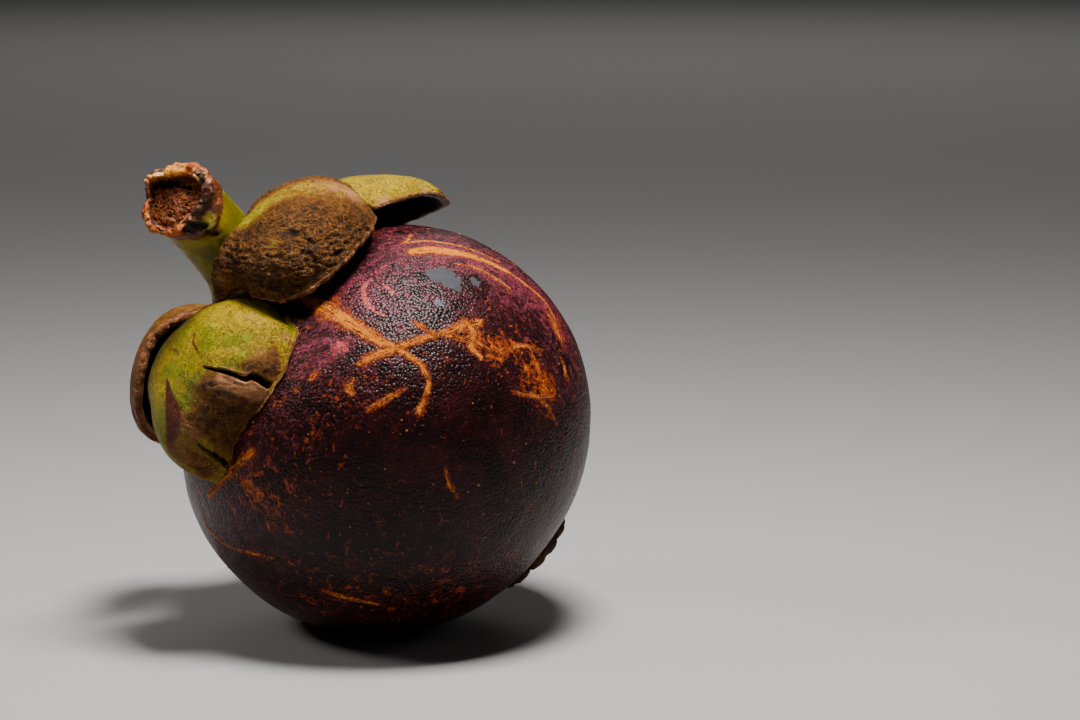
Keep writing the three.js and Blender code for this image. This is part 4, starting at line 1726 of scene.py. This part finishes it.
@dataclass
class Stem:
    """The stalk, which bends up from the calyx to the joint where it came off the branch.

    The joint's reach, and the torn rim's reach, height, width and glow, are given every sixteenth
    of a turn round the stalk, clockwise as it is seen from its end. Sizes are in millimetres. The
    starts and ends along the stalk are shares of its length. A wobble is how far a line strays, and
    wall edges are shares of the way from the rim down to the broken face.
    """

    foot: Place = (0.6, 2.0, 26.0)
    bend: Place = (3.4, 5.5, 42.6)
    tip: Place = (12.0, 4.6, 48.2)
    radius: float = 4.8
    flare_radius: float = 9.2
    flare_length: float = 0.2
    corners: int = 4
    corner_height: float = 0.07
    corner_turn: float = 20.0
    joint_reach: tuple[float, ...] = (
        5.8, 5.7, 6.3, 6.6, 6.0, 5.2, 5.0, 4.9, 4.6, 4.1, 4.3, 4.7, 4.6, 4.6, 5.0, 5.4,
    )
    rim_reach: tuple[float, ...] = (
        6.0, 5.8, 4.9, 4.5, 5.0, 5.5, 5.5, 5.5, 4.7, 4.0, 4.3, 5.0, 4.6, 4.5, 4.9, 5.5,
    )
    rim_height: tuple[float, ...] = (
        0.6, 0.1, -0.3, -0.2, 0.1, 0.3, 0.4, 0.5, 0.9, 0.1, 1.0, 0.9, 0.8, 0.9, 0.9, 0.8,
    )
    rim_width: tuple[float, ...] = (
        2.1, 1.7, 1.3, 1.2, 1.2, 1.2, 1.2, 1.2, 1.0, 0.8, 0.9, 1.6, 2.1, 2.2, 2.3, 2.3,
    )
    joint_start: float = 0.77
    joint_end: float = 0.85
    rim_start: float = 0.89
    lip_start: float = 0.93
    joint_wobble: float = 0.08
    reach_wobble: float = 0.14
    height_wobble: float = 0.20
    wobble_lobes: tuple[int, ...] = (5, 7, 11, 16, 23, 31)
    wobble_fall: float = 0.35
    wall_drop: Span = (0.3, 1.0)
    # painted shade on the wall under the lip: its strength and where it sets in and fades
    wall_shade: float = 0.8
    wall_shade_in: Span = (0.45, 0.75)
    wall_shade_out: Span = (0.85, 1.0)
    hollow_edge: Span = (-0.4, 0.4)
    lip_height: float = 0.45
    face_depth: float = 0.6
    face_crown: float = 0.4
    root_ends: Span = (0.2, 0.3)
    samples: int = 400
    segments: int = 192
    steps: int = 130
    lip_rings: int = 9
    wall_rings: int = 12
    face_rings: int = 34
    seed: int = 5
    finish: StemFinish = StemFinish()
    rim_glow: tuple[float, ...] = (
        0.3, 0.1, 0.0, 0.2, 0.6, 0.7, 0.7, 0.7, 0.8, 0.2, 0.2, 0.8, 0.9, 1.1, 1.0, 0.7,
    )
    # painted highlights: glints on the torn lip
    pale_and_glint_patches: tuple[Patch, ...] = (
        Patch((160, 172), 0.9, 1.0), Patch((198, 175), 0.9, 1.0), Patch((208, 178), 0.8, 0.9),
        Patch((192, 220), 0.8, 0.8), Patch((148, 220), 1.0, 1.0), Patch((146, 180), 0.8, 0.8),
    )
    # painted shade in hollows: partly torn pits, partly the recess under the overhanging rim
    shaded_hollows: tuple[Mark, ...] = (
        Mark(((184, 229), (191, 229), (198, 228), (205, 226)), (0.4, 0.9, 0.9, 0.4)),
        Mark(((207, 232), (213, 234), (219, 234)), (0.3, 0.6, 0.3)),
        Mark(((156, 187), (166, 184), (178, 184), (190, 187)), (0.3, 0.5, 0.5, 0.3)),
    )
    knobs: tuple[Patch, ...] = (Patch((209, 221), 1.4, 1.2),)

    def line(self) -> tuple[np.ndarray, np.ndarray, np.ndarray, np.ndarray]:
        """The stalk's centreline.

        Returns:
            Its points at even steps, and the tangents and the two side directions there.
        """
        foot, bend, tip = (np.array(p) for p in (self.foot, self.bend, self.tip))
        t = np.linspace(0, 1, self.samples)[:, None]
        raw = (1 - t) ** 2 * foot + 2 * t * (1 - t) * bend + t * t * tip
        run = np.concatenate([[0], np.cumsum(np.linalg.norm(np.diff(raw, axis=0), axis=1))])
        even = np.linspace(0, run[-1], self.steps + 1)
        points = np.stack([np.interp(even, run, raw[:, i]) for i in range(3)], -1)
        tangents = unit(np.gradient(points, axis=0))
        side = unit(np.cross(bend - foot, tip - bend))
        sides = np.repeat(side[None], len(points), axis=0)
        return points, tangents, sides, np.cross(tangents, sides)

    def wobble(self, around: np.ndarray, amount: float, rng: np.random.Generator) -> np.ndarray:
        """An uneven line round the stalk.

        Args:
            around: the angles.
            amount: about how far it strays.
            rng: the source of random numbers.

        Returns:
            How far it strays at each angle.
        """
        total = np.zeros_like(around)
        for lobes in self.wobble_lobes:
            height = rng.normal(0, amount / lobes**self.wobble_fall)
            total += height * np.sin(lobes * around + rng.uniform(0, FULL_TURN))
        return total

    def rings(self) -> tuple[np.ndarray, dict[str, list[float]]]:
        """The stalk's rings from its foot over the torn rim to the middle of the broken end.

        Returns:
            The rings' points, in the fruit's own frame, and each ring's values by name.
        """
        rng = np.random.default_rng(self.seed)
        points, tangents, sides, others = self.line()
        turn = even_turn(self.segments)
        spokes = np.cos(turn)[:, None, None] * sides - np.sin(turn)[:, None, None] * others
        corner_turn = turn + math.radians(self.corner_turn)
        corners = 1 + self.corner_height * np.cos(self.corners * corner_turn)
        joint_reach = round_value(self.joint_reach, turn) + self.wobble(turn, self.joint_wobble, rng)
        rim_reach = round_value(self.rim_reach, turn) + self.wobble(turn, self.reach_wobble, rng)
        rim_height = round_value(self.rim_height, turn) + self.wobble(turn, self.height_wobble, rng)
        rim_width = round_value(self.rim_width, turn)
        last = self.steps
        rings: list[np.ndarray] = []
        values: dict[str, list[float]] = {"root": [], "joint": [], "lip": [], "wall": [], "face": []}

        def add(i: int, reach: np.ndarray, forward: np.ndarray, **ring_values: float) -> None:
            """Adds a ring round one step of the centreline. Values that aren't given are 0."""
            rings.append(points[i] + forward[:, None] * tangents[i] + reach[:, None] * spokes[:, i])
            for name, each in values.items():
                each.append(float(ring_values.get(name, 0.0)))

        level = np.zeros(self.segments)
        for i, t in enumerate(np.linspace(0, 1, self.steps + 1)):
            flare = (self.flare_radius - self.radius) * math.exp(-((t / self.flare_length) ** 2))
            swollen = soft_step(t, self.joint_start, self.joint_end)
            torn = soft_step(t, self.rim_start, 1.0)
            reach = (self.radius + flare) * corners
            reach = reach + (joint_reach - reach) * swollen
            reach = reach + (rim_reach - reach) * torn
            # root marks the stalk's foot, painted in shade under the sepals
            root, lip = soft_fall(t, *self.root_ends), soft_step(t, self.lip_start, 1.0)
            add(i, reach, level + rim_height * torn, root=root, joint=swollen, lip=lip)
        for share in np.linspace(0, math.pi / 2, self.lip_rings + 1)[1:]:
            inward = 0.5 * rim_width * (1 - math.cos(share))
            add(last, rim_reach - inward, rim_height + self.lip_height * math.sin(share), joint=1.0, lip=1.0)
        edge = rim_reach - rim_width
        for share in np.linspace(0, 1, self.wall_rings + 1)[1:]:
            inward = 0.5 * rim_width * (1 + share)
            top = rim_height + self.lip_height
            drop = top - (self.face_depth + top) * soft_step(share, *self.wall_drop)
            # painted shade on the steep middle of the wall under the lip
            steep = soft_step(share, *self.wall_shade_in) * soft_fall(share, *self.wall_shade_out)
            dark = self.wall_shade * steep
            add(last, rim_reach - inward, drop, joint=1.0, lip=1.0 - share, wall=dark, face=share)
        for share in np.linspace(1, 0, self.face_rings + 1)[1:-1]:
            crown = self.face_crown * (1 - share**2) - self.face_depth
            add(last, edge * share, level + crown, joint=1.0, face=1.0)
        return np.vstack(rings), values

    def make(self) -> None:
        """Makes the stalk."""
        points, tangents, _, _ = self.line()
        rings, values = self.rings()
        end = points[-1] + tangents[-1] * (self.face_crown - self.face_depth)
        skin = FORM.to_row(np.vstack([points[:1], rings, end[None]]))
        faces = loft_faces(len(values["face"]), self.segments)
        surface = Surface(skin, faces)
        attributes = {name: spread_rings(each, self.segments) for name, each in values.items()}
        glow = round_value(self.rim_glow, even_turn(self.segments))
        attributes["glow"] = capped(np.tile(glow, len(values["face"])))
        attributes["pale"] = surface.patched(self.pale_and_glint_patches)
        attributes["knob"] = surface.patched(self.knobs)
        attributes["dark"] = soft_step(surface.marked(self.shaded_hollows), *self.hollow_edge)
        piece = make_piece("stem_stalk", skin, faces, attributes)
        relief = Relief(
            "stem_relief",
            [
                Lumps(4.0, 0.16, seed=0.4),
                Lumps(1.7, 0.42, mask="joint", detail=4.0, roughness=0.6, ridged=True, seed=0.7, warp=0.4),
                Lumps(2.1, 1.2, mask="lip", seed=1.1, warp=0.3),
                Lumps(1.0, 0.55, mask="face", roughness=0.6, seed=0.2),
            ],
            [Carving("dark", -0.5)],
        )
        relief.applied(piece, self.finish.make())
        finish_piece(piece, Slot.STEM, "stem")


@dataclass
class Strands:
    """The broken ends of the strands that run up the stalk, as small rings set out by a geometry tree.

    They stand on a disc that fills this share of the broken face, about a spacing apart, in
    millimetres. Each ring is scaled by chance between the two scales. The density only has to be
    higher than the spacing lets through.
    """

    stem: Stem
    disc_share: float = 0.82
    disc_points: int = 24
    spacing: float = 0.72
    density: float = 4.0e6
    radius: float = 0.27
    wall_share: float = 0.42
    hoop_sides: int = 11
    wall_sides: int = 6
    least_scale: Place = (0.6, 0.6, 0.6)
    most_scale: Place = (1.3, 1.3, 2.6)
    seed: int = 5
    finish: WoodyFinish = WoodyFinish("strand_fibre", (0.050, 0.015, 0.004), (0.34, 0.12, 0.022), 0.5)

    def disc(self) -> bpy.types.Object:
        """The disc that the strands stand on."""
        stem = self.stem
        points, tangents, sides, others = stem.line()
        turn = even_turn(self.disc_points)
        reach = self.disc_share * (round_value(stem.rim_reach, turn) - round_value(stem.rim_width, turn))
        middle = points[-1] + tangents[-1] * (0.5 * stem.face_crown - stem.face_depth)
        spokes = np.cos(turn)[:, None] * sides[-1] - np.sin(turn)[:, None] * others[-1]
        disc = FORM.to_row(np.vstack([middle[None], middle + reach[:, None] * spokes]))
        faces = [(0, 1 + (k + 1) % self.disc_points, 1 + k) for k in range(self.disc_points)]
        return make_piece("stem_strands", disc, faces)

    def make(self) -> None:
        """Makes the strands."""
        piece = self.disc()
        s = GeometrySketch("stem_strands")
        spacing = s.input("Spacing", self.spacing * MM)
        size = s.input("Strand radius", self.radius * MM)
        seed = s.input("Seed", self.seed)
        strewn = s.add(
            "GeometryNodeDistributePointsOnFaces",
            {
                "Mesh": s.entry.outputs["Geometry"], "Distance Min": spacing,
                "Density Max": self.density, "Seed": seed,
            },
            distribute_method="POISSON",
        ).outputs
        hoop, wall = (
            s.add("GeometryNodeCurvePrimitiveCircle", {"Resolution": sides, "Radius": radius}).outputs[0]
            for sides, radius in (
                (self.hoop_sides, size), (self.wall_sides, s.times(size, self.wall_share)),
            )
        )
        ring = s.add("GeometryNodeCurveToMesh", {"Curve": hoop, "Profile Curve": wall})
        scale = s.add(
            "FunctionNodeRandomValue", {0: self.least_scale, 1: self.most_scale, "Seed": seed},
            data_type="FLOAT_VECTOR",
        )
        s.finish_copies(
            strewn["Points"], ring.outputs["Mesh"], strewn["Rotation"], scale.outputs[0], self.finish.make()
        )
        strewn_over(piece, s)
        finish_piece(piece, Slot.STEM)


# ---------------------------------------------------------------- stigma


@dataclass
class Stigma:
    """The woody rosette on the end away from the stalk, its lobes set round by a geometry tree.

    A lobe is a wedge with a round end past its waist, which is a share of its radius. It fills this
    share of the room that it has, and its top is cut by a groove. The higher a squareness, the
    closer a round outline comes to a square one. Lengths are in millimetres, the turn in degrees.
    """

    lobes: int = 6
    radius: float = 7.5
    middle: tuple[float, float] = (0.0, 1.2)
    turn: float = 12.0
    height: float = 1.65
    waist: float = 0.62
    shoulder: float = 0.16
    filling: float = 0.97
    end_squareness: tuple[float, float] = (3.2, 2.4)
    end_drop: int = 9
    root_height: float = 0.62
    rise: Span = (0.1, 0.85)
    side_power: float = 0.6
    top_power: float = 0.42
    groove_depth: float = 0.22
    groove_width: float = 0.16
    belly: float = 0.25
    crowding: float = 1.35
    scatter: float = 0.06
    rows: int = 40
    columns: int = 44
    seed: int = 3
    finish: WoodyFinish = WoodyFinish("stigma_wood", (0.014, 0.0050, 0.0025), (0.070, 0.026, 0.011))

    def lobe(self) -> tuple[np.ndarray, list[tuple[int, ...]]]:
        """One wedge-shaped lobe lying on the rind's end, with x outwards and z off the rind.

        Returns:
            Its points, from the rosette's middle, and its faces.
        """
        share = np.linspace(0, 1, self.rows + 1)[1:]
        share = 1 - (1 - share) ** self.crowding
        out = self.radius * share
        past = np.clip((share - self.waist) / (1 - self.waist), 0, 1)
        bulge, power = self.end_squareness
        round_end = (1 - past**bulge) ** (1 / power)
        widest = np.minimum(out, self.radius * (self.waist + self.shoulder))
        width = widest * math.tan(math.pi / self.lobes) * self.filling * round_end
        rise = self.root_height + (1 - self.root_height) * soft_step(share, *self.rise)
        tall = self.height * rise * (1 - past**self.end_drop) ** 0.5
        turns = even_turn(self.columns)
        cos, sin = np.cos(turns), np.sin(turns)
        side = np.sign(cos) * np.abs(cos) ** self.side_power
        groove = 1 - self.groove_depth * np.exp(-((side / self.groove_width) ** 2))
        up = np.where(sin > 0, np.abs(sin) ** self.top_power * groove, -self.belly * np.abs(sin))
        x = np.repeat(out[:, None], self.columns, axis=1)
        y = width[:, None] * side
        z = tall[:, None] * up - (x**2 + y**2) / (2 * FORM.radius)
        rings = np.stack([x, y, z], -1).reshape(-1, 3)
        points = np.vstack([[(0.0, 0.0, 0.5 * self.height)], rings, [rings[-self.columns:].mean(0)]])
        return points, loft_faces(self.rows, self.columns)

    def make(self) -> None:
        """Makes the rosette."""
        points, faces = self.lobe()
        lobe = make_piece("stigma_lobe", points * MM, faces)
        material = self.finish.make()
        s = GeometrySketch("stigma_rosette")
        count = s.input("Lobes", self.lobes)
        scatter = s.input("Size scatter", self.scatter)
        seed = s.input("Seed", self.seed)
        ring = s.add("GeometryNodePoints", {"Count": count})
        number = s.add("GeometryNodeInputIndex").outputs[0]
        angle = s.times(number, s.maths("DIVIDE", FULL_TURN, count))
        spin = s.add("ShaderNodeCombineXYZ", {"Z": angle}).outputs[0]
        low = s.maths("SUBTRACT", 1.0, scatter)
        size = s.add("FunctionNodeRandomValue", {2: low, 3: 1.0, "Seed": seed}, data_type="FLOAT")
        s.finish_copies(ring.outputs[0], s.entry.outputs["Geometry"], spin, size.outputs[1], material)
        mesh = s.applied(lobe)
        bpy.data.objects.remove(lobe)
        local = mesh_points(mesh) / MM
        turn = math.radians(self.turn)
        x, y = self.middle
        seat = FORM.over(np.array([x]), np.array([y]), End.FAR)[0]
        spin_x = np.array([math.cos(turn), math.sin(turn), 0.0])
        spin_y = np.array([math.sin(turn), -math.cos(turn), 0.0])
        down = np.array([0.0, 0.0, -1.0])
        laid = seat + local[:, :1] * spin_x + local[:, 1:2] * spin_y + local[:, 2:] * down
        move_points(mesh, FORM.to_row(laid))
        piece = linked("stigma_rosette", mesh)
        lumps = Lumps(1.4, 0.22, detail=4.0, roughness=0.6, ridged=True, seed=0.9, warp=0.3)
        relief = Relief("stigma_relief", [lumps])
        relief.applied(piece, material)
        finish_piece(piece, Slot.STIGMA, "stigma")


# ---------------------------------------------------------------- all together


def main() -> None:
    """Builds the studio and the fruit, piece by piece."""
    logging.basicConfig(level=logging.INFO, format="%(name)s: %(message)s")
    CAMERA.make()
    Studio().make()
    Flecks().make(Rind().make())
    Calyx().make()
    stem = Stem()
    stem.make()
    Strands(stem).make()
    Stigma().make()


if __name__ == "__main__":
    main()
